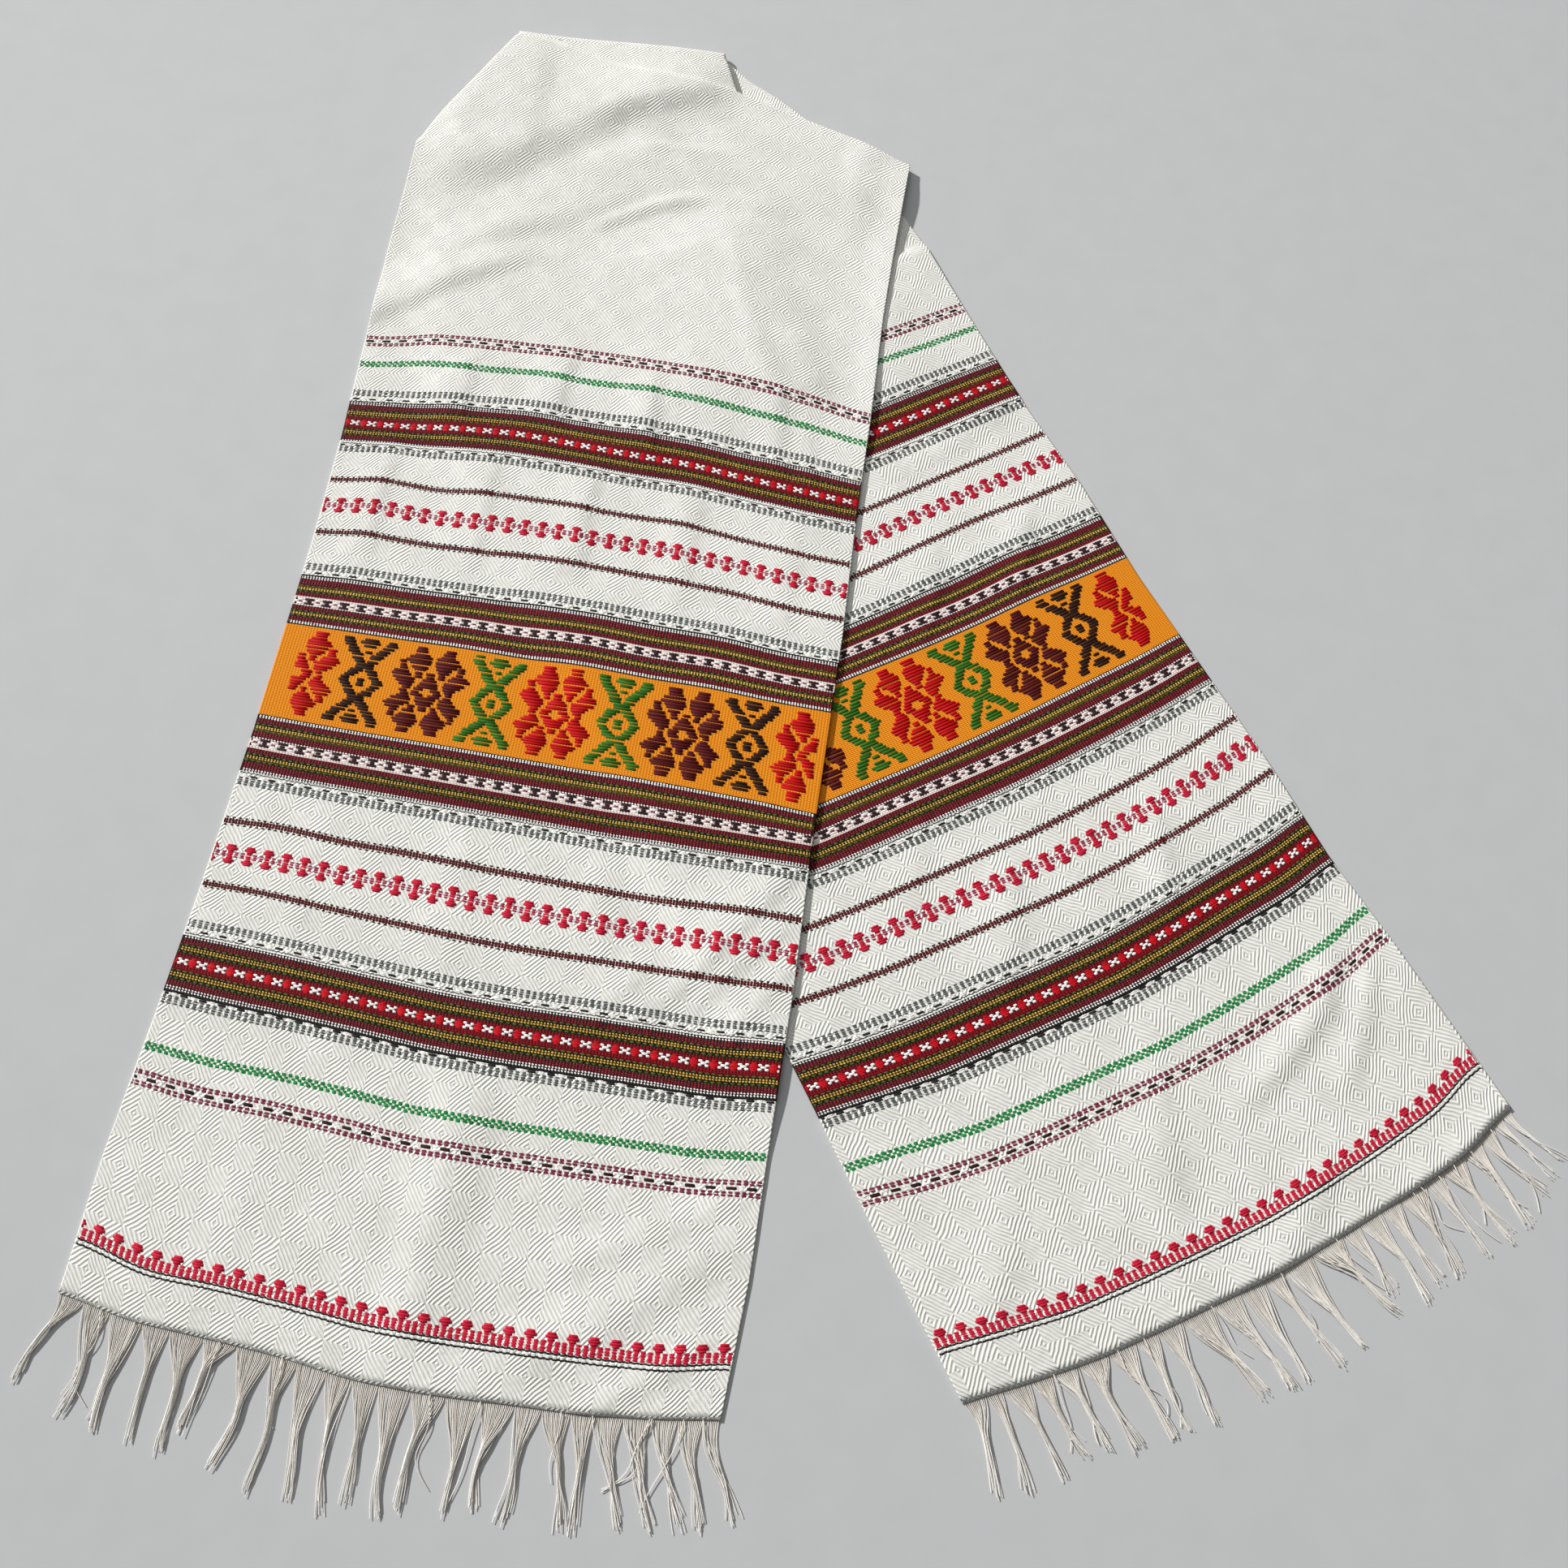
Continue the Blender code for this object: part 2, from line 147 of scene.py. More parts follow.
FIELD_ROWS = np.arange(-80, 661, FIELD_STEP)
WINDOW_ALONG = 5
WINDOW_ACROSS = 9


def smoothed(values, width, mode):
    """Rows of values, softened by a rounded window of an odd width."""
    window = np.hanning(width + 2)[1:-1]
    half = width // 2
    kind = {"reflect_type": "odd"} if mode == "reflect" else {}
    padded = np.pad(values, [(0, 0), (half, half)], mode=mode, **kind)
    return np.stack([np.convolve(line, window / window.sum(), "valid") for line in padded])


for end in (FRONT, BACK):
    listed = np.array(end["sag"], float)
    across = np.stack([np.interp(FIELD_SIDES, SAG_SIDES, line[1:]) for line in listed])
    field = np.stack([np.interp(FIELD_ROWS, listed[:, 0], column) for column in across.T])
    end["field"] = smoothed(smoothed(field, WINDOW_ALONG, "edge").T, WINDOW_ACROSS, "reflect")
print("sag field", FRONT["field"].shape)


# %% [markdown]
# With the sag field, a point of the weave can be sent to its place on the table, and back again. Working
# on whole arrays of points at once keeps this fast: the pattern below has several hundred thousand.
# %% From the weave to the table and back
UNWOVEN_TRIES = 3


def read_between(values, column, row):
    """A grid's value at a column and a row with fractions, from the four points about it."""
    column = np.clip(column, 0, values.shape[1] - 1.001)
    row = np.clip(row, 0, values.shape[0] - 1.001)
    i, j = column.astype(int), row.astype(int)
    p, q = column - i, row - j
    near = values[j, i] * (1 - p) + values[j, i + 1] * p
    far = values[j + 1, i] * (1 - p) + values[j + 1, i + 1] * p
    return near * (1 - q) + far * q


def field_at(field, side, row):
    """The sag at a side and a row of the weave."""
    return read_between(field, (side - FIELD_SIDES[0]) / FIELD_STEP, (row - FIELD_ROWS[0]) / FIELD_STEP)


def on_table(end, side, along):
    """The place of a point given by its side and its straight distance along the end, in millimetres."""
    forward = np.array([math.cos(end["heading"]), math.sin(end["heading"])])
    right = np.array([-forward[1], forward[0]])
    reach = along + end["skew"] * side
    return np.stack([end["start"][k] + forward[k] * reach + right[k] * side for k in (0, 1)], axis=-1)


def woven(end, side, row):
    """The place on the table of a point of the weave."""
    side, row = np.broadcast_arrays(np.asarray(side, float), np.asarray(row, float))
    return on_table(end, side, row + field_at(end["field"], side, row))


def unwoven(end, place):
    """The side and row of the weave at a place on the table."""
    forward = np.array([math.cos(end["heading"]), math.sin(end["heading"])])
    off = place - np.array(end["start"])
    side = off @ np.array([-forward[1], forward[0]])
    along = off @ forward - end["skew"] * side
    row = along
    for _ in range(UNWOVEN_TRIES):
        row = along - field_at(end["field"], side, row)
    return side, row


def selvedges(end, row):
    """The sides of the left and the right selvedge at a row."""
    table = np.array(end["selvedges"], float)
    return np.interp(row, table[:, 0], table[:, 1]), np.interp(row, table[:, 0], table[:, 2])


# %% [markdown]
# The folded part is where the towel turns back on itself. Seen from above it is bounded by turned edges:
# a long one on the left, a slanting one on the right, and a short crisp one up to the top fold. The lower
# layer narrows to the same fold. These bent lines are the solid model's, so both stack the same way.
# %% The turned edges
UPPER_LEFT = (
    (-277.9, 445.3),
    (-263.7, 477.5),
    (-253.7, 494.6),
    (-242.0, 516.9),
    (-231.1, 539.5),
    (-220.0, 565.0),
)
UPPER_RIGHT = ((89.2, 469.0), (52.5, 486.9), (22.6, 498.2), (-13.6, 511.7), (-46.7, 525.0))
UPPER_SHORT = ((-46.7, 525.0), (-60.0, 564.0))
LOWER_LEFT = ((-220.0, 565.0), (-232.0, 500.0), (-240.0, 440.0), (-236.0, 370.0), (-222.0, 290.0))
LOWER_RIGHT = ((-60.0, 564.0), (-38.0, 543.2), (-17.3, 529.9), (22.6, 498.5), (57.0, 464.0), (87.0, 422.0))
OUTLINE_STEPS = 16
FAR_AWAY = 1e9


def along_path(path, count):
    """Points at even spacing along a bent line, ends included."""
    points = np.array(path, float)
    reach = np.concatenate([[0.0], np.cumsum(np.hypot(*np.diff(points, axis=0).T))])
    wanted = np.linspace(0.0, reach[-1], count)
    return np.stack([np.interp(wanted, reach, points[:, k]) for k in (0, 1)], axis=1)


def lower_outline():
    """The outline of the lower layer: round its left edge, the back hem and its right edge."""
    rows = np.linspace(BACK["selvedges"][0][0], HEM_ROW, OUTLINE_STEPS)
    left, right = selvedges(BACK, rows)
    down = np.concatenate([np.array(LOWER_LEFT), on_table(BACK, left, rows)])
    up = np.concatenate([on_table(BACK, right, rows)[::-1], np.array(LOWER_RIGHT)[::-1]])
    return np.concatenate([down, up])


OUTLINE = lower_outline()


def distance_outside(place):
    """How far each place lies outside the lower layer's outline, and 0 for those over it."""
    flat = place.reshape(-1, 2)
    nearest = np.full(len(flat), FAR_AWAY)
    inside = np.zeros(len(flat), bool)
    for start, stop in zip(OUTLINE, np.roll(OUTLINE, -1, axis=0)):
        span = stop - start
        share = np.clip(((flat - start) @ span) / (span @ span), 0.0, 1.0)
        nearest = np.minimum(nearest, np.hypot(*(flat - start - share[:, None] * span).T))
        crosses = (start[1] > flat[:, 1]) != (stop[1] > flat[:, 1])
        if crosses.any():
            at_x = start[0] + (flat[:, 1] - start[1]) * span[0] / span[1]
            inside ^= crosses & (at_x > flat[:, 0])
    return np.where(inside, 0.0, nearest).reshape(place.shape[:-1])


# %% [markdown]
# Cotton of this weight doesn't lie dead flat. Broad soft ridges run through the folded part, and faint
# ripples through both ends, where the cloth was handled. Simulating them would move the whole towel off
# its solid, so each ridge is listed one by one: a bent line for its crest, a height, and the widths of its
# two flanks. A ridge with one narrow flank reads as a crease, and the light picks it out. The upper layer
# lies one step over the lower one, and comes down to the table between a clear and a settled distance.
# %% Ridges, troughs and creases
CLOTH_THICK = 1.2
FLOOR_LEVEL = 0.7
LAYER_STEP = 2.6
CLEAR_OUT = 8.0
SETTLE_OUT = 40.0
STACK_FROM = 395.0
STACK_TO = 452.0
ENDS_SHARE = 0.3
# Columns: height, left flank's width, right flank's width, crest as seen when walking along it
UPPER_RIDGES = (
    # The folded part, from its left edge across
    (3.8, 14, 80, ((-326, 330), (-308, 400), (-291, 448), (-277, 486), (-257, 524), (-238, 562), (-222, 626))),
    (4.2, 130, 34, ((-296, 418), (-240, 430), (-205, 450), (-170, 480), (-135, 503), (-95, 518), (-20, 526))),
    (2.6, 46, 22, ((-165, 482), (-135, 500), (-110, 512), (-88, 520), (-62, 528), (-40, 532))),
    (1.6, 60, 20, ((-206, 415), (-200, 465), (-201, 520), (-207, 580))),
    (2.0, 60, 22, ((-245, 356), (-205, 377), (-175, 391), (-150, 401), (-120, 411), (-85, 420))),
    (1.7, 7, 9, ((-152, 378), (-131, 387), (-115, 396), (-98, 406), (-80, 413), (-55, 417))),
    (0.9, 8, 7, ((-112, 402), (-85, 414), (-55, 418), (-10, 416), (20, 408))),
    (2.5, 34, 15, ((-312, 262), (-276, 296), (-255, 310), (-230, 327), (-205, 341), (-185, 349), (-150, 356))),
    (0.7, 20, 12, ((-270, 342), (-215, 366), (-180, 380), (-140, 386))),
    (4.2, 130, 60, ((22, 205), (-3, 265), (-14, 300), (-22, 327), (-29, 356), (-38, 386), (-60, 430))),
    (0.6, 12, 10, ((14, 235), (-3, 275), (-14, 300), (-22, 327), (-29, 356), (-38, 386), (-48, 410))),
    (0.9, 20, 16, ((6, 312), (20, 290), (32, 268), (42, 246))),
    (1.8, 26, 20, ((80, 170), (83, 270), (86, 330), (88, 385), (92, 440), (97, 510))),
    (1.0, 24, 24, ((-114, 436), (-108, 465), (-104, 500))),
    (0.6, 9, 9, ((-130, 460), (-95, 463), (-55, 463), (-25, 458))),
    (0.9, 18, 20, ((50, 380), (51, 440), (54, 500))),
    # Ripples above and below the upper star band
    (1.5, 26, 9, ((-207, 200), (-205, 235), (-208, 266))),
    (1.6, 34, 9, ((-143, 196), (-141, 240), (-134, 284))),
    (1.6, 28, 8, ((-76, 184), (-76, 225), (-79, 264))),
    (1.3, 22, 10, ((14, 170), (12, 215), (6, 262))),
    (0.7, 14, 8, ((36, 165), (33, 205), (30, 245))),
    (1.2, 26, 8, ((-246, 80), (-247, 140), (-244, 192))),
    (1.3, 42, 10, ((-178, 72), (-177, 130), (-176, 194))),
    (1.4, 32, 8, ((-108, 85), (-110, 140), (-106, 188))),
    (1.1, 26, 14, ((-42, 48), (-44, 110), (-38, 178))),
    (0.8, 24, 12, ((24, 48), (28, 110), (26, 166))),
    # Between the orange band and the hem
    (0.7, 26, 14, ((-232, -215), (-240, -150), (-236, -80))),
    (0.6, 30, 16, ((-145, -200), (-150, -150), (-146, -75))),
    (0.7, 30, 16, ((-70, -200), (-62, -150), (-66, -80))),
    (1.5, 32, 8, ((-40, -205), (-12, -172), (16, -136), (44, -100), (62, -70))),
    (1.1, 26, 8, ((-15, -200), (8, -168), (34, -142), (60, -118))),
    (0.8, 22, 7, ((6, -222), (26, -190), (46, -160), (60, -136))),
    (0.8, 24, 7, ((-66, -206), (-50, -185), (-36, -167), (-22, -148))),
    (2.2, 26, 32, ((-134, -400), (-131, -330), (-126, -265), (-128, -200))),
    (1.2, 26, 18, ((-110, -392), (-40, -358), (10, -322), (50, -286))),
    (0.9, 18, 12, ((-70, -330), (-20, -312), (25, -288), (55, -262))),
    (0.9, 10, 8, ((-50, -404), (-20, -388), (5, -372), (32, -352))),
    (0.5, 20, 20, ((-240, -372), (-235, -300), (-242, -240))),
)
LOWER_RIDGES = (
    (1.8, 10, 62, ((70, 235), (78, 330), (84, 440))),
    (0.9, 20, 16, ((84, 190), (120, 216), (165, 262), (190, 290))),
    (1.2, 22, 9, ((174, 98), (182, 145), (182, 190))),
    (1.0, 24, 10, ((112, 55), (122, 110), (120, 158))),
    (1.1, 18, 8, ((274, -108), (271, -66), (264, -24))),
    (0.8, 26, 12, ((118, -130), (122, -80), (116, -30))),
    (0.9, 26, 12, ((170, -180), (180, -120), (176, -56))),
    (1.6, 17, 10, ((298, -222), (335, -186), (362, -148), (376, -92))),
    (1.1, 12, 9, ((368, -208), (386, -152), (396, -98))),
    (1.1, 24, 14, ((274, -282), (268, -240), (260, -176))),
    (0.9, 26, 16, ((165, -360), (180, -300), (176, -244))),
    (0.9, 22, 14, ((300, -318), (330, -290), (352, -255), (362, -215))),
    (1.2, 26, 22, ((390, -268), (432, -238), (482, -194))),
)
# The flap that is turned down behind the folded part lies lower than the sheet's own soft edge over it
FLAP_DROP = 1.4
FLAP_BREAK = 4.0
FLAP_LINE = (
    (-300, 580),
    (-220.6, 562.7),
    (-181.4, 554.6),
    (-141.2, 537.9),
    (-96.4, 530.7),
    (-46.9, 524.9),
    (20, 515),
)


def smooth_step(value):
    value = np.clip(value, 0.0, 1.0)
    return value * value * (3.0 - 2.0 * value)


def off_path(path, place):
    """Distance to a bent line, positive on its right hand, and the share of its length passed."""
    path = np.array(path, float)
    lengths = np.hypot(*np.diff(path, axis=0).T)
    passed = np.concatenate([[0.0], np.cumsum(lengths)])
    gap = np.full(place.shape[:-1], FAR_AWAY)
    share = np.zeros(place.shape[:-1])
    for start, stop, length, before in zip(path[:-1], path[1:], lengths, passed):
        span = stop - start
        along = np.clip((place - start) @ span / length**2, 0.0, 1.0)
        off = place - start - along[..., None] * span
        here = np.hypot(off[..., 0], off[..., 1])
        hand = np.where(span[0] * off[..., 1] - span[1] * off[..., 0] > 0, -1.0, 1.0)
        closer = here < np.abs(gap)
        gap = np.where(closer, here * hand, gap)
        share = np.where(closer, (before + along * length) / passed[-1], share)
    return gap, share


def ridges(table, place):
    """The rise of all the ridges of a table at each place."""
    rise = np.zeros(place.shape[:-1])
    for height, left, right, path in table:
        gap, share = off_path(path, place)
        ends = smooth_step(np.minimum(share, 1.0 - share) / ENDS_SHARE)
        rise = rise + height * ends * smooth_step(1.0 - np.abs(gap) / np.where(gap < 0, left, right))
    return rise


def upper_level(place):
    """The height of the middle of the upper layer, over the lower one and down beside it."""
    over = 1.0 - smooth_step((distance_outside(place) - CLEAR_OUT) / (SETTLE_OUT - CLEAR_OUT))
    turned = smooth_step((place[..., 1] - STACK_FROM) / (STACK_TO - STACK_FROM))
    flap = smooth_step(-off_path(FLAP_LINE, place)[0] / FLAP_BREAK) * turned
    return FLOOR_LEVEL + LAYER_STEP * (over + turned) - FLAP_DROP * flap + ridges(UPPER_RIDGES, place)


def lower_level(place):
    return FLOOR_LEVEL + ridges(LOWER_RIDGES, place)


# %% [markdown]
# The heights are worked out once, on a fine grid, and then only looked up, for the sheet and for every
# thread laid on it alike. So the pattern's yarns always sit on the cloth, whatever its folds.
# %% The heights on a grid
GRID_STEP = 2.0
GRID_X = np.arange(-360, 521, GRID_STEP)
GRID_Y = np.arange(-520, 601, GRID_STEP)
GRID_PLACES = np.stack(np.meshgrid(GRID_X, GRID_Y), axis=-1)


def looked_up(level):
    """A level function that reads a grid of its values, between the four nearest points."""
    values = level(GRID_PLACES)

    def read(place):
        column = (place[..., 0] - GRID_X[0]) / GRID_STEP
        return read_between(values, column, (place[..., 1] - GRID_Y[0]) / GRID_STEP)

    return read


UPPER_AT = looked_up(upper_level)
FRONT["level"] = UPPER_AT
BACK["level"] = looked_up(lower_level)
print("highest middle of the sheet, in millimetres", UPPER_AT(GRID_PLACES).max().round(2))

# %% [markdown]
# The cloth itself is one sheet, lofted row by row from the front hem up to the top fold and down again to
# the back hem. At the turned edges a row curls under by half a turn round a small radius, which is what
# tells a fold from a cut edge. Rows are laid about 4 mm apart, close enough for every ripple.
# %% The rows of the sheet
ROLL_RADIUS = LAYER_STEP / 2
ROLL_LENGTH = math.pi * ROLL_RADIUS
ROLL_STEPS = 6
FACE_STEPS = 84
ROW_STEP = 4.2
LOWER_ROWS = 60
TOP_FOLD_STEPS = 10
SLANT_STEPS = 56
SHORT_STEPS = 14
JOINING_ROWS = 10
CURLING_ROWS = 12
UNCURLING = (2.0, 1.0, 0.0)
TURNED_AFTER = 3


def rolled_edge(roll):
    """The middle line of an edge turned under by an angle, as (inwards, down) from its outermost point."""
    reach = np.linspace(0.0, ROLL_LENGTH, ROLL_STEPS + 1)
    if roll < 1e-6:
        return ROLL_LENGTH - reach, np.zeros(ROLL_STEPS + 1)
    radius = ROLL_LENGTH / roll
    out = radius * np.sin(reach / radius)
    return radius * math.sin(min(roll, math.pi / 2)) - out, radius * (1.0 - np.cos(reach / radius))


def insets(width):
    """Distances in from the left edge of a row that isn't turned, close together at both edges."""
    curl = ROLL_LENGTH - rolled_edge(0.0)[0]
    face = np.linspace(ROLL_LENGTH, width - ROLL_LENGTH, FACE_STEPS + 1)
    return np.concatenate([curl[:-1], face, width - curl[::-1][1:]])


def plain_row(end, row):
    """One row of an end, from its left selvedge to its right one."""
    left, right = selvedges(end, row)
    place = woven(end, left + insets(right - left), row)
    return np.column_stack([place, end["level"](place)])


def turned_row(left, right, roll, level):
    """One row of the folded part, straight between two turned edges."""
    across = (right - left) / np.hypot(*(right - left))
    inwards, down = rolled_edge(roll)
    face = np.linspace(left + across * inwards[0], right - across * inwards[0], FACE_STEPS + 1)
    height = level(face)
    lefts = left + across * inwards[::-1, None]
    rights = right - across * inwards[:, None]
    places = np.concatenate([lefts[:-1], face, rights[1:]])
    heights = np.concatenate([height[0] - down[::-1][:-1], height, height[-1] - down[1:]])
    return np.column_stack([places, heights])


def joining_rows(start, left_end, right_end):
    """Rows from the last row of the front end to the first turned one, less and less bowed."""
    left_start, right_start = start[0][:2], start[-1][:2]
    bow = start[:, :2] - turned_row(left_start, right_start, 0.0, UPPER_AT)[:, :2]
    rows = []
    for step in range(1, JOINING_ROWS):
        share = step / JOINING_ROWS
        left = left_start + (left_end - left_start) * share
        right = right_start + (right_end - right_start) * share
        bowed = turned_row(left, right, 0.0, UPPER_AT)[:, :2] + bow * (1 - share)
        rows.append(np.column_stack([bowed, UPPER_AT(bowed)]))
    return rows


def top_fold_rows(top):
    """Rows round the top fold: half a turn from the upper layer to the lower one."""
    centre = (top[:, 2] + FLOOR_LEVEL) / 2
    radius = top[:, 2] - centre
    rows = []
    for step in range(1, TOP_FOLD_STEPS + 1):
        angle = math.pi * step / TOP_FOLD_STEPS
        out = top[:, 1] + radius * math.sin(angle)
        rows.append(np.column_stack([top[:, 0], out, centre + radius * math.cos(angle)]))
    return rows


def hidden_rows(first_back_row):
    """Flat rows of the lower layer, from the top fold to the first row of the back end."""
    left_path = LOWER_LEFT + (tuple(first_back_row[0][:2]),)
    right_path = LOWER_RIGHT + (tuple(first_back_row[-1][:2]),)
    lefts = along_path(left_path, LOWER_ROWS + 2)[1:-1]
    rights = along_path(right_path, LOWER_ROWS + 2)[1:-1]

    def flat(place):
        return np.full(len(place), FLOOR_LEVEL)

    return [turned_row(left, right, 0.0, flat) for left, right in zip(lefts, rights)]


def sheet_rows():
    """Every row of the sheet, the number of the first row past the top fold, and the turned rows' span."""
    front = np.arange(HEM_ROW, FRONT["selvedges"][0][0], -ROW_STEP)
    rows = [plain_row(FRONT, row) for row in front]
    rights = np.concatenate([along_path(UPPER_RIGHT, SLANT_STEPS), along_path(UPPER_SHORT, SHORT_STEPS)[1:]])
    lefts = along_path(UPPER_LEFT, len(rights))
    rolls = np.full(len(rights), math.pi)
    rolls[:CURLING_ROWS] = np.linspace(0.0, math.pi, CURLING_ROWS)
    rolls[-len(UNCURLING) :] = UNCURLING
    rows += joining_rows(rows[-1], lefts[0], rights[0])
    turned_from = len(rows) + TURNED_AFTER
    rows += [turned_row(left, right, roll, UPPER_AT) for left, right, roll in zip(lefts, rights, rolls)]
    turned_to = len(rows) - 2
    rows += top_fold_rows(rows[-1])
    second = len(rows) - TOP_FOLD_STEPS // 2
    back = np.arange(BACK["selvedges"][0][0], HEM_ROW + ROW_STEP / 2, ROW_STEP)
    back = back * HEM_ROW / back[-1]
    back_rows = [plain_row(BACK, row) for row in back]
    rows += hidden_rows(back_rows[0]) + back_rows
    return np.array(rows), second, turned_from, turned_to


ROWS, SECOND, TURNED_FROM, TURNED_TO = sheet_rows()
print("rows and columns", ROWS.shape[:2], "past the top fold from row", SECOND)

# %% [markdown]
# The tables above keep the towel's own zero, and the solid model is centred on the world's. Two places
# that both know give the shift: the outermost corner of the back hem, and the crest of the top fold.
# %% Shift to the solid model
SOLID_THICK = 1.4
solid_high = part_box("cloth")[1]
corner_x = on_table(BACK, selvedges(BACK, HEM_ROW)[1], HEM_ROW)[0]
crest_y = UPPER_LEFT[-1][1] + LAYER_STEP + SOLID_THICK / 2
SHIFT = np.array([corner_x - solid_high[0] / MM, crest_y - solid_high[1] / MM, 0.0])
print("shift in millimetres", SHIFT.round(2))


def in_metres(points):
    """Points of the towel's own tables, in the world's metres."""
    return (np.asarray(points, float) - SHIFT) * MM


# %% [markdown]
# A mesh is made here from arrays, with two sets of flat coordinates. The first, "weave", holds side and
# row in millimetres, so a thread pattern runs with the cloth whatever way it is folded. The second lays
# the long strip out in two columns side by side, so that its pattern can be baked to one square picture.
# %% A mesh from arrays
BAKE_SPAN = 960.0
BAKE_MARGIN = 12.0
COLUMN_WIDTH = 400.0
COLUMN_MIDDLE = 195.0
PAST_HEM = 4.0


def bake_place(side, row, second):
    """Where a point of the weave lies on the square that is baked, its two ends side by side."""
    u = (BAKE_MARGIN + COLUMN_MIDDLE + side + np.where(second, COLUMN_WIDTH, 0.0)) / BAKE_SPAN
    v = (BAKE_MARGIN + HEM_ROW + PAST_HEM - row) / BAKE_SPAN
    return np.stack([u, v], axis=-1)


def new_piece(name, points, faces, maps=(), material=None):
    """A piece from points in millimetres and faces, with a flat map for each face corner."""
    data = bpy.data.meshes.new(name)
    data.from_pydata(in_metres(points).tolist(), [], faces.tolist())
    for title, corners in maps:
        layer = data.uv_layers.new(name=title)
        layer.data.foreach_set("uv", corners.astype(np.float32).ravel())
    data.polygons.foreach_set("use_smooth", np.ones(len(faces), bool))
    made = bpy.data.objects.new(name, data)
    bpy.context.scene.collection.objects.link(made)
    if material:
        data.materials.append(material)
    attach(made, "root")
    return made


def grid_faces(rows, columns):
    """The four corners of each face of a grid of points."""
    first = (np.arange(rows - 1)[:, None] * columns + np.arange(columns - 1)).ravel()
    return np.stack([first, first + 1, first + columns + 1, first + columns], axis=1)


# %% [markdown]
# Small helpers keep the shader cells short. A dye is written as it would be picked from a colour card,
# and turned into the linear light that shaders work in.
# %% Shader helpers
COTTON_GLOSS = 0.12


def dye(red, green, blue):
    """A colour card's 0 to 255 as linear light."""
    card = np.array([red, green, blue]) / 255.0
    light = np.where(card <= 0.04045, card / 12.92, ((card + 0.055) / 1.055) ** 2.4)
    return (*[float(value) for value in light], 1.0)


class Shader:
    """A material being wired: each call adds a node and gives back its output."""

    def __init__(self, name, roughness):
        self.material = bpy.data.materials.new(name)
        self.material.use_nodes = True
        self.tree = self.material.node_tree
        self.surface = self.tree.nodes["Principled BSDF"]
        self.surface.inputs["Roughness"].default_value = roughness
        self.surface.inputs["Specular IOR Level"].default_value = COTTON_GLOSS

    def node(self, kind, **settings):
        made = self.tree.nodes.new(kind)
        for key, value in settings.items():
            setattr(made, key, value)
        return made

    def feed(self, socket, value):
        if isinstance(value, bpy.types.NodeSocket):
            self.tree.links.new(value, socket)
        else:
            socket.default_value = value

    def maths(self, operation, *values):
        made = self.node("ShaderNodeMath", operation=operation)
        for socket, value in zip(made.inputs, values):
            self.feed(socket, value)
        return made.outputs[0]

    def wave(self, value, pitch):
        """A round wave from 0 to 1 that repeats every pitch."""
        turned = self.maths("COSINE", self.maths("MULTIPLY", value, 2 * math.pi / pitch))
        return self.maths("MULTIPLY_ADD", turned, 0.5, 0.5)

    def noise(self, place, scale, detail=2.0):
        made = self.node("ShaderNodeTexNoise")
        self.feed(made.inputs["Vector"], place)
        made.inputs["Scale"].default_value = scale
        made.inputs["Detail"].default_value = detail
        return made.outputs["Fac"]

    def mix(self, share, first, second, blend="MIX"):
        made = self.node("ShaderNodeMix", data_type="RGBA", blend_type=blend)
        self.feed(made.inputs[0], share)
        self.feed(made.inputs[6], first)
        self.feed(made.inputs[7], second)
        return made.outputs[2]

    def weave(self):
        """The side and row of the weave, in millimetres, and both as one place."""
        flat = self.node("ShaderNodeUVMap", uv_map="weave").outputs[0]
        parts = self.node("ShaderNodeSeparateXYZ")
        self.feed(parts.inputs[0], flat)
        return flat, parts.outputs[0], parts.outputs[1]

    def bump(self, height, distance):
        made = self.node("ShaderNodeBump")
        made.inputs["Strength"].default_value = 1.0
        made.inputs["Distance"].default_value = distance
        self.feed(made.inputs["Height"], height)
        self.feed(self.surface.inputs["Normal"], made.outputs[0])


# %% [markdown]
# The ground of the towel is a white goose-eye twill: floats step sideways row by row, turn back every
# 12 mm, and so draw rhombs inside rhombs. Two ping-pong ramps added together give just those nested
# rhombs. They shape the relief, and are painted into the white as well, as painted shade: darker in the
# grooves, lighter on the ridges. A soft noise in its relief stands for the cockling of hand-woven cloth.
# The coloured bands are a denser rib, dyed by row, with painted shade between the ribs: since both halves
# of an end mirror each other about the orange band, one ramp of the distance from its middle row serves
# all of them.
# %% The cloth's finish
MIDDLE_ROW = 258.2
TURN_BACK = 12.0
TWILL_STEP = 2.75
TWILL_SLOPE = 0.9
TWILL_SHARE = 0.84
DRIFT = 5.0
DRIFT_SCALE = 0.05
WARP_PITCH = 0.94
WEFT_PITCH = 0.8
COCKLE_SCALE = 0.22
COCKLE_SHARE = 0.8
DIP_SCALE = 0.035
CLOTH_RELIEF = 0.38
RIB_RELIEF = 0.7
RIB_COLUMN = 1.875
RIB_ROW = 1.15
RAMP_REACH = 400.0
WHITE = dye(226, 225, 219)
MAROON_GROUND = dye(70, 22, 28)
MOSS_GROUND = dye(26, 30, 20)
GOLD_GROUND = dye(84, 68, 26)
DARK_GROUND = dye(34, 30, 28)
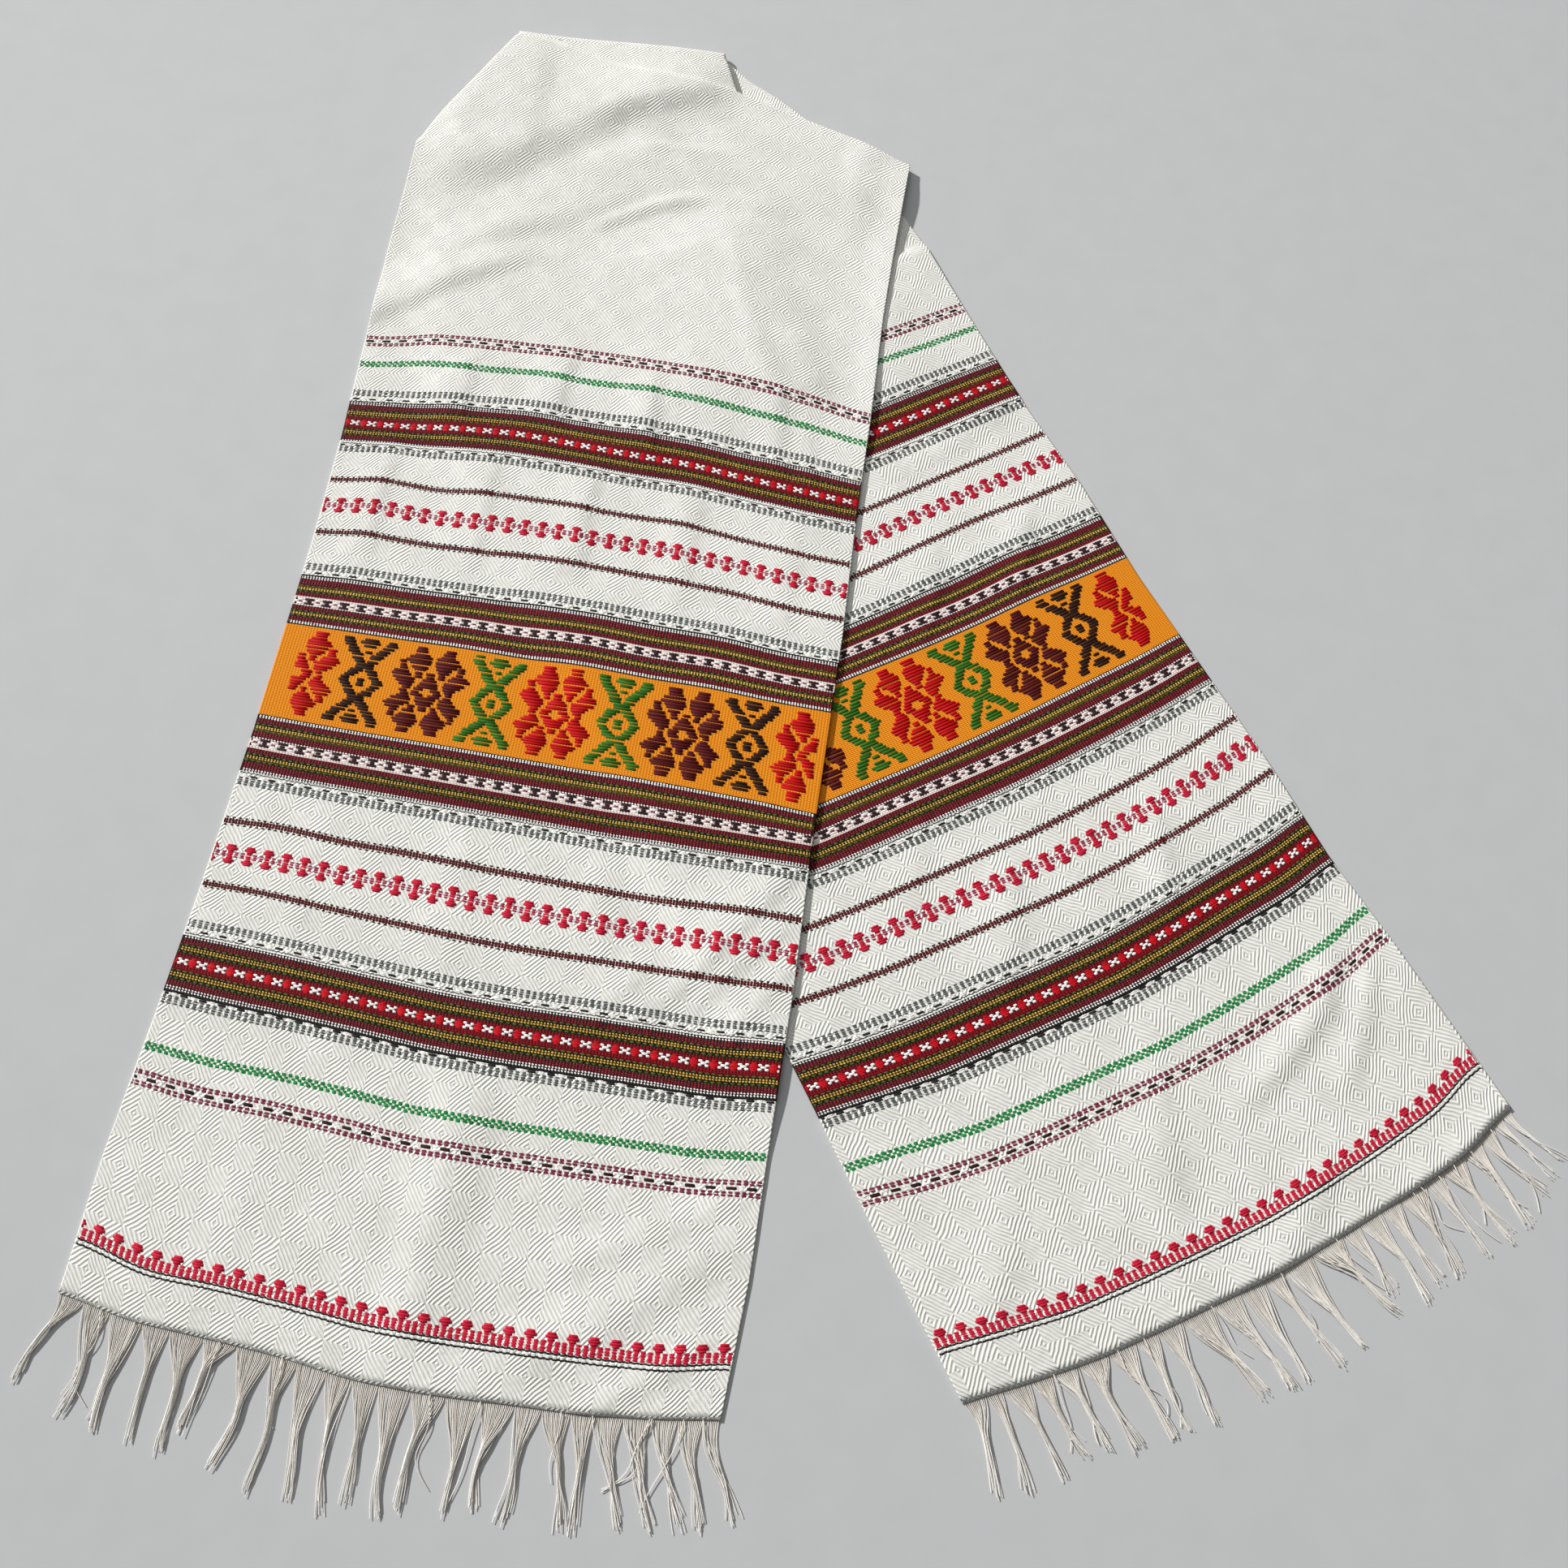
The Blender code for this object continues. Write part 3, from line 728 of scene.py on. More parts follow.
# Columns: distance from the middle row where a ground begins, its colour, whether it is a band
GROUNDS = (
    (0.0, dye(255, 160, 36), 1),
    (32.6, DARK_GROUND, 1),
    (35.2, MAROON_GROUND, 1),
    (38.6, MOSS_GROUND, 1),
    (40.0, GOLD_GROUND, 1),
    (42.2, MOSS_GROUND, 1),
    (43.6, MAROON_GROUND, 1),
    (47.0, dye(238, 226, 224), 1),
    (54.2, MAROON_GROUND, 1),
    (57.8, MOSS_GROUND, 1),
    (59.4, GOLD_GROUND, 1),
    (61.8, MOSS_GROUND, 1),
    (63.4, MAROON_GROUND, 1),
    (68.1, DARK_GROUND, 1),
    (70.3, WHITE, 0),
    (172.6, DARK_GROUND, 1),
    (175.2, MAROON_GROUND, 1),
    (178.7, MOSS_GROUND, 1),
    (180.6, GOLD_GROUND, 1),
    (182.8, MOSS_GROUND, 1),
    (184.6, dye(104, 12, 22), 1),
    (194.4, MOSS_GROUND, 1),
    (196.2, GOLD_GROUND, 1),
    (198.4, MOSS_GROUND, 1),
    (200.3, MAROON_GROUND, 1),
    (203.9, DARK_GROUND, 1),
    (206.4, WHITE, 0),
)
FIELD_HALF = 32.6
NEARER_SHARE = 0.92
STAR_SHIFT = 1.1


def upper_half(begins):
    """The half above the orange field is woven a little tighter, and its star band lies further out."""
    if begins > RAMP_REACH / 4:
        return begins + STAR_SHIFT
    return FIELD_HALF + (begins - FIELD_HALF) * NEARER_SHARE if begins > FIELD_HALF else begins


def ground_ramp(cloth, distance, placed):
    """The ground's colour by its distance from the middle row, and in alpha whether it is a band."""
    ramp = cloth.node("ShaderNodeValToRGB")
    ramp.color_ramp.interpolation = "CONSTANT"
    cloth.feed(ramp.inputs[0], cloth.maths("DIVIDE", distance, RAMP_REACH))
    stops = ramp.color_ramp.elements
    while len(stops) < len(GROUNDS):
        stops.new(1.0)
    for stop, (begins, colour, band) in zip(stops, GROUNDS):
        stop.position = placed(begins) / RAMP_REACH
        stop.color = (*colour[:3], band)
    return ramp.outputs["Color"], ramp.outputs["Alpha"]


def twill_ridges(cloth, flat, side, row):
    """The relief of the ground from 0 to 1, also painted into its colour as painted shade: rhombs in rhombs,
    and the single threads between them.
    """
    drifted = cloth.maths("MULTIPLY_ADD", cloth.noise(flat, DRIFT_SCALE), DRIFT, side)
    upward = cloth.maths("MULTIPLY", row, TWILL_SLOPE)
    sideways, lengthways = [cloth.maths("PINGPONG", ramp, TURN_BACK) for ramp in (drifted, upward)]
    ridge = cloth.wave(cloth.maths("ADD", sideways, lengthways), TWILL_STEP)
    threads = cloth.maths("MULTIPLY", cloth.wave(side, WARP_PITCH), cloth.wave(row, WEFT_PITCH))
    ridge = cloth.maths("MULTIPLY", ridge, TWILL_SHARE)
    return cloth.maths("MULTIPLY_ADD", threads, 1.0 - TWILL_SHARE, ridge)


def cloth_finish():
    cloth = Shader("white_goose_eye", 0.82)
    flat, side, row = cloth.weave()
    ground = twill_ridges(cloth, flat, side, row)
    dip = cloth.noise(flat, DIP_SCALE, 3.0)
    # Painted shade: the twill's grooves are painted darker and its ridges lighter, and a slow noise mottles
    # the white.
    grey = cloth.maths("MULTIPLY_ADD", ground, 0.5, cloth.maths("MULTIPLY", dip, 0.54))
    white = cloth.mix(grey, dye(198, 197, 188), dye(252, 251, 243))

    distance = cloth.maths("ABSOLUTE", cloth.maths("SUBTRACT", row, MIDDLE_ROW))
    above = cloth.maths("LESS_THAN", row, MIDDLE_ROW)
    near_hem, near_hem_band = ground_ramp(cloth, distance, lambda begins: begins)
    far_off, far_off_band = ground_ramp(cloth, distance, upper_half)
    colour = cloth.mix(above, near_hem, far_off)
    first = cloth.maths("MULTIPLY", near_hem_band, cloth.maths("SUBTRACT", 1.0, above))
    band = cloth.maths("MULTIPLY_ADD", far_off_band, above, first)
    rib = cloth.maths("MULTIPLY", cloth.wave(side, RIB_COLUMN), cloth.wave(row, RIB_ROW))
    # Painted shade: the band's colour is darkened in the grooves between the ribs.
    rib_painted_shade = cloth.mix(rib, dye(214, 204, 192), dye(255, 255, 255))
    banded = cloth.mix(1.0, colour, rib_painted_shade, "MULTIPLY")
    cloth.feed(cloth.surface.inputs["Base Color"], cloth.mix(band, white, banded))
    cockled = cloth.maths("MULTIPLY_ADD", cloth.noise(flat, COCKLE_SCALE), COCKLE_SHARE, ground)
    plain = cloth.maths("MULTIPLY", cockled, cloth.maths("SUBTRACT", 1.0, band))
    ribbed = cloth.maths("MULTIPLY", rib, RIB_RELIEF)
    cloth.bump(cloth.maths("MULTIPLY_ADD", ribbed, band, plain), CLOTH_RELIEF * MM)
    return cloth.material


# %% [markdown]
# Now the sheet's points become a mesh. A strip of cloth is turned in under each folded edge, as the solid
# model has it, and Solidify gives the whole its thickness, equally on both sides of the lofted middle.
# %% The cloth
TURNED_LEFT = 34.0
TURNED_RIGHT = 62.0
TURNED_STEPS = 4
TURNED_GROWS_OVER = 0.75


def turned_strip(direction, width):
    """Points of the cloth turned in under one edge, from nothing at the row where its turn begins."""
    edge = 0 if direction < 0 else -1
    edges = ROWS[TURNED_FROM : TURNED_TO + 1, edge]
    face = ROWS[TURNED_FROM : TURNED_TO + 1, [ROLL_STEPS, -1 - ROLL_STEPS], :2]
    inwards = (face[:, 1] - face[:, 0]) * -direction
    inwards = inwards / np.hypot(*inwards.T)[:, None]
    share = np.minimum(1.0, np.arange(len(edges)) / (len(edges) * TURNED_GROWS_OVER))[:, None]
    lines = [edges]
    for step in range(1, TURNED_STEPS + 1):
        line = edges.copy()
        line[:, :2] += inwards * width * share * step / TURNED_STEPS
        lines.append(line)
    return np.array(lines)


def make_cloth():
    count, columns = ROWS.shape[:2]
    places = ROWS.reshape(-1, 3)
    faces = grid_faces(count, columns)
    second = np.repeat(np.arange(count - 1) >= SECOND, columns - 1)
    for direction, width in ((-1, TURNED_LEFT), (1, TURNED_RIGHT)):
        lines = turned_strip(direction, width)
        numbers = np.arange(TURNED_FROM, TURNED_TO + 1) * columns + (0 if direction < 0 else columns - 1)
        fresh = len(places) + np.arange(TURNED_STEPS * len(numbers))
        places = np.concatenate([places, lines[1:].reshape(-1, 3)])
        table = np.concatenate([numbers, fresh]).reshape(TURNED_STEPS + 1, -1)
        strip = np.stack([table[:-1, :-1], table[:-1, 1:], table[1:, 1:], table[1:, :-1]], axis=-1)
        strip = strip.reshape(-1, 4)
        faces = np.concatenate([faces, strip if direction < 0 else strip[:, ::-1]])
        second = np.concatenate([second, np.zeros(len(strip), bool)])
    on_front = np.stack(unwoven(FRONT, places[:, :2]), axis=-1)
    on_back = np.stack(unwoven(BACK, places[:, :2]), axis=-1)
    corners = np.where(second[:, None, None], on_back[faces], on_front[faces]).reshape(-1, 2)
    baked = bake_place(corners[:, 0], corners[:, 1], np.repeat(second, 4))
    cloth = new_piece("towel_cloth", places, faces, (("weave", corners), ("OFBake", baked)), cloth_finish())
    solid = cloth.modifiers.new("thickness", "SOLIDIFY")
    solid.thickness = CLOTH_THICK * MM
    solid.offset = 0.0
    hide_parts("cloth")
    print("cloth faces before its thickness", len(faces))
    return cloth


cloth = make_cloth()

# %% [markdown]
# The coloured pattern is brocade: a thicker, softer yarn is laid over a few threads, dips under one, and
# comes up again. Each stretch on top is called a float, and it stands proud of the cloth and catches the
# light. A picture of the pattern would lie flat in a close view, so each float is a small raised bar of
# its own, tapered at both ends where it dives back into the cloth. All bars of one yarn share a mesh.
# %% Laying the floats
REPEAT = 11.25
PITCH = REPEAT / 3
RIB = PITCH / 2
EDGE_CLEAR = 0.7
SINK = 0.12
SWELL = 1.28
TAPER = 0.6
BEAD_LENGTH = 2.0
SHORTEST = 0.5
HALF_REACH = 184.0
PATTERN_CENTRE = -6.5
SLIP_SIDE = 0.10
SLIP_ROW = 0.07
# Along a float: its height and its breadth at each station
BEAD_HEIGHTS, BEAD_BREADTHS = np.array([-0.1, 1.0, -0.1]), np.array([0.7, 1.0, 0.7])
BAR_HEIGHTS, BAR_BREADTHS = np.array([-0.1, 1.0, 1.0, -0.1]), np.array([0.6, 1.0, 1.0, 0.6])
# Across a float: where its points lie, and how high each stands
THICK_RISE = 0.6
THIN_ACROSS, THIN_ROUND = np.array([-1.0, 0.0, 1.0]), np.array([0.0, 1.0, 0.0])
THICK_ACROSS, THICK_ROUND = np.array([-1.0, -0.6, 0.0, 0.6, 1.0]), np.array([0.0, 0.74, 1.0, 0.74, 0.0])
random = np.random.default_rng(7)
floats = {}


def lay(yarn, row, spans, tall, rise=0.42, jitter=1.0):
    """Lays floats of a yarn in a row, each from one side to another, on both ends of the towel."""
    spans = np.asarray(spans, float).reshape(-1, 2)
    floats.setdefault(yarn, []).append((row, spans, tall, rise, jitter))


def repeated(centre, pitch, length):
    """Spans of a length about every place that lies a whole number of pitches from a centre."""
    first = math.ceil((-HALF_REACH - centre) / pitch)
    last = math.floor((HALF_REACH - centre) / pitch)
    middles = centre + pitch * np.arange(first, last + 1)
    return np.stack([middles - length / 2, middles + length / 2], axis=1)


def float_points(end, row, spans, tall, rise, jitter):
    """The points of one row of floats, cut to the selvedges: beads of three stations or bars of four."""
    left, right = selvedges(end, row)
    low = np.maximum(spans[:, 0], left + EDGE_CLEAR)
    high = np.minimum(spans[:, 1], right - EDGE_CLEAR)
    keep = high - low > SHORTEST
    low, high = low[keep], high[keep]
    count = len(low)
    low = (low + random.normal(0.0, SLIP_SIDE * jitter, count))[:, None]
    high = (high + random.normal(0.0, SLIP_SIDE * jitter, count))[:, None]
    middle = row + random.normal(0.0, SLIP_ROW * jitter, count)
    breadth = tall / 2 * SWELL * random.uniform(0.9, 1.1, count)
    lift = rise * random.uniform(0.85, 1.15, count)
    if count and (high - low).max() < BEAD_LENGTH:
        side = np.concatenate([low, (low + high) / 2, high], axis=1)
        profile, breadths = BEAD_HEIGHTS, BEAD_BREADTHS
    else:
        taper = np.minimum(TAPER, (high - low) / 4)
        side = np.concatenate([low, low + taper, high - taper, high], axis=1)
        profile, breadths = BAR_HEIGHTS, BAR_BREADTHS
    across, round_off = (THICK_ACROSS, THICK_ROUND) if rise >= THICK_RISE else (THIN_ACROSS, THIN_ROUND)
    sides = np.repeat(side[:, :, None], len(across), axis=2)
    rows = middle[:, None, None] + (breadth[:, None] * breadths)[:, :, None] * across
    place = woven(end, sides, rows)
    height = np.where(round_off > 0.0, (lift[:, None] * profile)[:, :, None] * round_off, -SINK)
    level = end["level"](place) + CLOTH_THICK / 2 + height
    each = len(across) * len(profile)
    shade = np.repeat(random.uniform(0.0, 1.0, count), each)
    faces = grid_faces(len(profile), len(across))[None] + np.arange(count)[:, None, None] * each
    points = np.concatenate([place, level[..., None]], axis=-1)
    return points.reshape(-1, 3), sides.ravel(), rows.ravel(), shade, faces.reshape(-1, 4)


# %% [markdown]
# Each band is charted once, as offsets from its own middle row, and laid wherever the towel repeats it.
# A weaver's draft is written in the same way. First come the slim borders: dashed lines, a chain of dark
# eyes, a row of small crimson hammers, and the grey ticks that edge every wide band.
# %% The slim borders
WAVER = 0.16
TICK_ROWS = 4
TICK_STEP = 1.27


def dashes(yarn, row, tall=1.2, length=2.95, centre=PATTERN_CENTRE, pitch=PITCH, rise=0.4):
    lay(yarn, row, repeated(centre, pitch, length), tall, rise)


def wavy_line(yarn, row, tall=0.6):
    """An unbroken line that steps up and down a little as it passes over and under."""
    half = PITCH / 2
    for shift, centre in ((-WAVER, PATTERN_CENTRE), (WAVER, PATTERN_CENTRE + half)):
        lay(yarn, row + shift, repeated(centre, PITCH, half + 0.6), tall, 0.34, 0.6)


def thin_line(row):
    for offset in (-2.1, 2.15):
        dashes("charcoal", row + offset, 1.0, 2.2)
    for offset in (-0.62, 0.67):
        lay("claret", row + offset, repeated(PATTERN_CENTRE, RIB, 2.0), 1.85, 0.42, 0.5)


def eye_chain(row, centre):
    for offset in (-3.9, -2.45, 2.25, 3.7):
        dashes("plum", row + offset, 1.4, 3.05, centre)
    lay("umber", row, repeated(centre, REPEAT, 6.0), 1.8, 0.5)
    for offset in (-0.9, 0.9):
        lay("white", row + offset, repeated(centre + REPEAT / 2, REPEAT, 2.6), 0.8, 0.4)


def green_line(row):
    dashes("grass", row - 1.45, 2.0, 2.85)
    dashes("grass", row, 1.5, 2.7, PATTERN_CENTRE + PITCH / 2)
    dashes("grass", row + 1.45, 2.0, 2.85)


# Columns: offset from the middle row, length, height of the float
HAMMER_BARS = (
    (-4.9, 5.2, 1.35),
    (-3.6, 7.0, 1.5),
    (-2.3, 3.8, 1.25),
    (2.3, 3.8, 1.2),
    (3.6, 7.0, 1.5),
    (4.9, 5.0, 1.35),
)


def hammer_row(row, centre):
    for offset, length, tall in HAMMER_BARS:
        lay("crimson", row + offset, repeated(centre, REPEAT, length), tall, 0.6)
    for offset in (-1.25, 0.0, 1.25):
        lay("crimson", row + offset, repeated(centre, REPEAT, 3.7), 1.1, 0.5)
        for shift in (-PITCH, PITCH):
            lay("rose", row + offset, repeated(centre + shift, REPEAT, 2.8), 1.12, 0.42)


def checks(lens_row, direction, gap, centre=PATTERN_CENTRE):
    """Dark lenses on white, with four rows of ticks beyond them on the side away from the band."""
    lay("charcoal", lens_row, repeated(centre, REPEAT, 5.0), 1.35, 0.5)
    for offset in (-0.45, 0.45):
        lay("white", lens_row + offset, repeated(centre + REPEAT / 2, REPEAT, 3.6), 0.75, 0.42)
    for step in range(TICK_ROWS):
        dashes("slate", lens_row + direction * (gap + TICK_STEP * step), 1.2, 2.75, centre)


for row in (116.0, 157.4, 358.4, 397.5):
    thin_line(row)
eye_chain(-0.2, 1.5)
eye_chain(514.5, 1.5)
green_line(19.4)
green_line(496.7)
hammer_row(137.3, -6.0)
hammer_row(377.1, -6.0)
print("rows of floats so far", sum(len(rows) for rows in floats.values()))

# %% [markdown]
# The wide bands are built of ribs: short floats side by side, 1.9 mm apart, in wine red, moss and gold.
# In the narrower band white stars and scarlet lozenges take turns along the middle.
# %% The star bands
def ribs(yarn, rows, tall=0.98, length=1.38, rise=0.42, pitch=RIB):
    for row in rows:
        lay(yarn, row, repeated(PATTERN_CENTRE, pitch, length), tall, rise, 0.7)


def border_stack(outer, direction):
    """Moss, gold and moss again, from an offset outwards."""
    ribs("moss", [outer], 1.1, 2.6, 0.34, PITCH)
    ribs("gold", [outer + direction * 1.55, outer + direction * 2.95], 1.05, 1.32, 0.48)
    ribs("moss", [outer + direction * 4.5], 1.1, 2.6, 0.34, PITCH)


def star_band(row):
    for direction in (-1, 1):
        ribs("garnet", [row + direction * offset for offset in (11.4, 12.5, 13.6)])
        border_stack(row + direction * 5.6, direction)
        ribs("white", [row + direction * 15.0, row + direction * 16.3], 1.1, 1.36)
        wavy_line("charcoal", row + direction * 17.4)
        ribs("ruby", [row + direction * offset for offset in (2.5, 3.4, 4.3)], 0.95)
    for offset, length in ((-2.1, 3.0), (-1.05, 4.6), (0.0, 5.4), (1.05, 4.6), (2.1, 3.0)):
        lay("scarlet", row + offset, repeated(-7.6, REPEAT, length), 1.0, 0.42)
    for offset in (-1.25, 1.25):
        for shift in (-2.0, 2.0):
            lay("white", row + offset, repeated(-2.0 + shift, REPEAT, 2.5), 1.35, 0.52)
    lay("white", row, repeated(-2.0, REPEAT, 3.8), 1.35, 0.55)
    checks(row - 19.2, -1, 3.1)
    checks(row + 19.0, 1, 1.3)


star_band(67.6)
star_band(447.7)

# %% [markdown]
# The widest band has an orange field between two borders, each the same stack of ribs about a white
# chain with pairs of dark eyes. It is charted outwards from the field's edge, so one chart serves both.
# %% The wide borders
# Columns: distance out from the orange field, yarn, pitch, length, height of the float
BORDER = (
    (0.3, "umber", RIB, 1.45, 0.7),
    (1.2, "white", RIB, 1.38, 1.15),
    (2.2, "white", RIB, 1.38, 1.15),
    (3.3, "garnet", RIB, 1.38, 1.0),
    (4.4, "garnet", RIB, 1.38, 1.0),
    (5.4, "garnet", RIB, 1.38, 1.0),
    (6.7, "moss", PITCH, 2.6, 1.1),
    (8.1, "gold", RIB, 1.32, 1.0),
    (9.1, "gold", RIB, 1.32, 1.0),
    (10.5, "moss", PITCH, 2.6, 1.1),
    (11.8, "garnet", RIB, 1.38, 1.0),
    (12.9, "garnet", RIB, 1.38, 1.0),
    (13.9, "garnet", RIB, 1.38, 1.0),
    (15.2, "white", RIB, 1.45, 1.0),
    (16.4, "umber", REPEAT, 6.6, 1.9),
    (18.1, "umber", REPEAT, 3.4, 1.6),
    (19.8, "umber", REPEAT, 6.6, 1.9),
    (21.0, "white", RIB, 1.45, 1.0),
    (22.4, "garnet", RIB, 1.38, 1.0),
    (23.5, "garnet", RIB, 1.38, 1.0),
    (24.6, "garnet", RIB, 1.38, 1.0),
    (25.9, "moss", PITCH, 2.6, 1.1),
    (27.4, "gold", RIB, 1.32, 1.0),
    (28.4, "gold", RIB, 1.32, 1.0),
    (30.1, "moss", PITCH, 2.6, 1.1),
    (31.5, "garnet", RIB, 1.38, 1.0),
    (32.6, "garnet", RIB, 1.38, 1.0),
    (33.7, "garnet", RIB, 1.38, 1.0),
    (34.8, "garnet", RIB, 1.38, 1.0),
    (36.1, "white", RIB, 1.38, 1.15),
    (37.3, "white", RIB, 1.38, 1.15),
)
EYES_CENTRE = -6.2


def wide_border(edge, scale, gap):
    direction = math.copysign(1, scale)
    for out, yarn, pitch, length, tall in BORDER:
        lay(yarn, edge + out * scale, repeated(EYES_CENTRE, pitch, length), tall, 0.42, 0.7)
    for offset in (-1.5, 1.5):
        spans = repeated(EYES_CENTRE + REPEAT / 2, REPEAT, 3.8)
        lay("white", edge + (18.1 + offset) * scale, spans, 1.0, 0.42)
    for shift in (-3.1, 3.1):
        lay("white", edge + 18.1 * scale, repeated(EYES_CENTRE + shift, REPEAT, 2.4), 1.1, 0.44)
    lay("plum", edge + 18.1 * scale, repeated(EYES_CENTRE + REPEAT / 2, REPEAT, 3.0), 1.1, 0.36)
    wavy_line("charcoal", edge + 38.5 * scale)
    checks(edge + 40.6 * scale, direction, gap, EYES_CENTRE)


wide_border(225.3, -0.92, 2.6)
wide_border(290.8, 1.0, 1.4)

# %% [markdown]
# Eight-petalled flowers and crossed diamonds stand on the orange field. Both mirror themselves up and
# down and left and right, so a quarter of each is charted: for every float, how many rows it lies from
# the middle, and where it begins and ends off the motif's own centre line.
# %% The flowers and crosses
MOTIF_ROW = 2.03
MOTIF_MIDDLE = 257.4
MOTIF_HALF_ROWS = 14
MOTIF_GROW = np.array([-0.45, 0.45])
MOTIF_TALL = 1.74
MOTIF_RISE = 0.66
MOTIF_JITTER = 3.5
# Columns: rows from the middle, from, to
FLOWER = (
    (0, 4.4, 9.2),
    (0, 12.5, 16.5),
    (1, 2.4, 8.6),
    (1, 11.2, 15.8),
    (2, 0.0, 6.4),
    (2, 10.0, 17.6),
    (3, 0.0, 5.6),
    (3, 9.0, 20.2),
    (4, 0.0, 4.4),
    (4, 9.4, 22.6),
    (5, 0.0, 2.3),
    (5, 5.2, 8.8),
    (5, 12.0, 24.2),
    (6, 0.0, 2.2),
    (6, 5.6, 9.2),
    (6, 13.6, 23.0),
    (7, 4.0, 11.2),
    (7, 15.6, 20.2),
    (8, 2.6, 12.6),
    (8, 16.6, 20.4),
    (9, 1.8, 14.8),
    (9, 16.8, 20.6),
    (10, 1.6, 16.8),
    (11, 1.9, 15.6),
    (12, 3.6, 12.8),
    (13, 5.2, 12.3),
    (14, 5.5, 12.6),
)
CROSS = (
    (0, 0.0, 2.0),
    (0, 7.6, 13.4),
    (1, 0.0, 2.2),
    (1, 6.6, 12.4),
    (2, 4.8, 10.4),
    (3, 3.0, 9.2),
    (4, 1.0, 8.2),
    (5, 0.0, 5.4),
    (6, 0.0, 5.2),
    (7, 0.6, 7.2),
    (8, 1.8, 9.0),
    (9, 3.2, 10.0),
    (10, 0.0, 2.0),
    (10, 5.2, 12.6),
    (11, 7.0, 13.4),
    (12, 0.0, 3.6),
    (12, 9.0, 15.4),
    (13, 0.0, 6.0),
    (13, 10.2, 17.2),
    (14, 0.0, 4.6),
    (14, 10.8, 16.4),
)
# Columns: motif, yarn, centre on the front end, centre on the back end, from, to
FIELD_MOTIFS = (
    (FLOWER, "red", -158.0, -165.0, -2.0, 30.0),
    (CROSS, "bark", -117.5, -124.0, -30.0, 30.0),
    (FLOWER, "claret", -75.6, -84.0, -30.0, 30.0),
    (CROSS, "leaf", -34.4, -43.7, -30.0, 30.0),
    (FLOWER, "red", 6.3, -3.5, -30.0, 30.0),
    (CROSS, "leaf", 46.6, 36.5, -30.0, 30.0),
    (FLOWER, "claret", 87.0, 76.7, -30.0, 30.0),
    (CROSS, "bark", 127.8, 118.2, -30.0, 30.0),
    (FLOWER, "red", 168.6, 160.0, -30.0, 2.0),
)


def motif_spans(chart, number, lowest, highest):
    """The floats of one row of a motif, mirrored, about its own centre line."""
    spans = []
    for rows_out, begins, ends in chart:
        if rows_out != abs(number):
            continue
        spans += [(-ends, ends)] if begins == 0.0 else [(-ends, -begins), (begins, ends)]
    cut = [(max(begins, lowest), min(ends, highest)) for begins, ends in spans]
    return [(begins, ends) for begins, ends in cut if ends - begins > 1.0]


field_floats = {"front": {}, "back": {}}
for chart, yarn, on_front, on_back, lowest, highest in FIELD_MOTIFS:
    for number in range(-MOTIF_HALF_ROWS, MOTIF_HALF_ROWS + 1):
        row = MOTIF_MIDDLE + number * MOTIF_ROW
        spans = np.array(motif_spans(chart, number, lowest, highest)).reshape(-1, 2)
        for name, centre in (("front", on_front), ("back", on_back)):
            laid = (row, spans + centre + MOTIF_GROW, MOTIF_TALL, MOTIF_RISE, MOTIF_JITTER)
            field_floats[name].setdefault(yarn, []).append(laid)

# %% [markdown]
# Nearest the hem a row of crimson buds sits on four rows of dashes, above two fine dark lines.
# %% The hem border
BUD_CENTRE = -0.75
for row, length, tall in ((592.1, 5.0, 1.3), (593.4, 6.8, 1.5), (594.7, 4.2, 1.3)):
    lay("crimson", row, repeated(BUD_CENTRE, REPEAT, length), tall, 0.6)
for row in (596.1, 597.4, 598.7, 600.0):
    dashes("crimson", row, 1.45, 3.05, BUD_CENTRE)
wavy_line("charcoal", 601.2, 1.1)
dashes("white", 602.4, 1.1, 2.5, BUD_CENTRE)
wavy_line("charcoal", 603.7, 1.1)
print("yarns", sorted(floats))

# %% [markdown]
# Every yarn is a soft twist of fibres. Its colour drifts a little from float to float, as dyed yarn does,
# and fine fibres run along the float. The drift comes from a number that each float carries, so that it
# stays with the float and not with the view.
# %% The yarns
# Columns: a float's darkest and lightest colour
YARNS = {
    "charcoal": (dye(24, 24, 24), dye(46, 45, 44)),
    "slate": (dye(70, 72, 72), dye(106, 109, 108)),
    "garnet": (dye(112, 26, 34), dye(160, 52, 60)),
    "plum": (dye(100, 32, 52), dye(136, 58, 78)),
    "umber": (dye(36, 18, 20), dye(58, 32, 34)),
    "grass": (dye(18, 106, 48), dye(44, 146, 76)),
    "crimson": (dye(172, 18, 44), dye(208, 40, 66)),
    "rose": (dye(140, 30, 60), dye(172, 60, 88)),
    "ruby": (dye(112, 10, 20), dye(156, 22, 34)),
    "scarlet": (dye(184, 10, 24), dye(212, 26, 38)),
    "moss": (dye(58, 74, 30), dye(90, 106, 50)),
    "gold": (dye(204, 158, 56), dye(238, 198, 104)),
    "white": (dye(232, 228, 222), dye(250, 248, 244)),
    "red": (dye(166, 4, 8), dye(196, 12, 14)),
    "bark": (dye(36, 18, 12), dye(60, 34, 22)),
    "claret": (dye(66, 12, 14), dye(98, 24, 24)),
    "leaf": (dye(38, 88, 18), dye(66, 120, 34)),
}


def yarn_finish(name):
    dark, light = YARNS[name]
    yarn = Shader("yarn_" + name, 0.62)
    flat = yarn.weave()[0]
    shade = yarn.node("ShaderNodeAttribute", attribute_name="shade").outputs["Fac"]
    stretched = yarn.node("ShaderNodeMapping")
    yarn.feed(stretched.inputs["Vector"], flat)
    stretched.inputs["Scale"].default_value = (0.5, 4.0, 1.0)
    fibres = yarn.noise(stretched.outputs[0], 1.0, 2.0)
    share = yarn.maths("MULTIPLY_ADD", shade, 0.6, yarn.maths("MULTIPLY", fibres, 0.4))
    yarn.feed(yarn.surface.inputs["Base Color"], yarn.mix(share, dark, light))
    yarn.bump(fibres, 0.12 * MM)
    return yarn.material


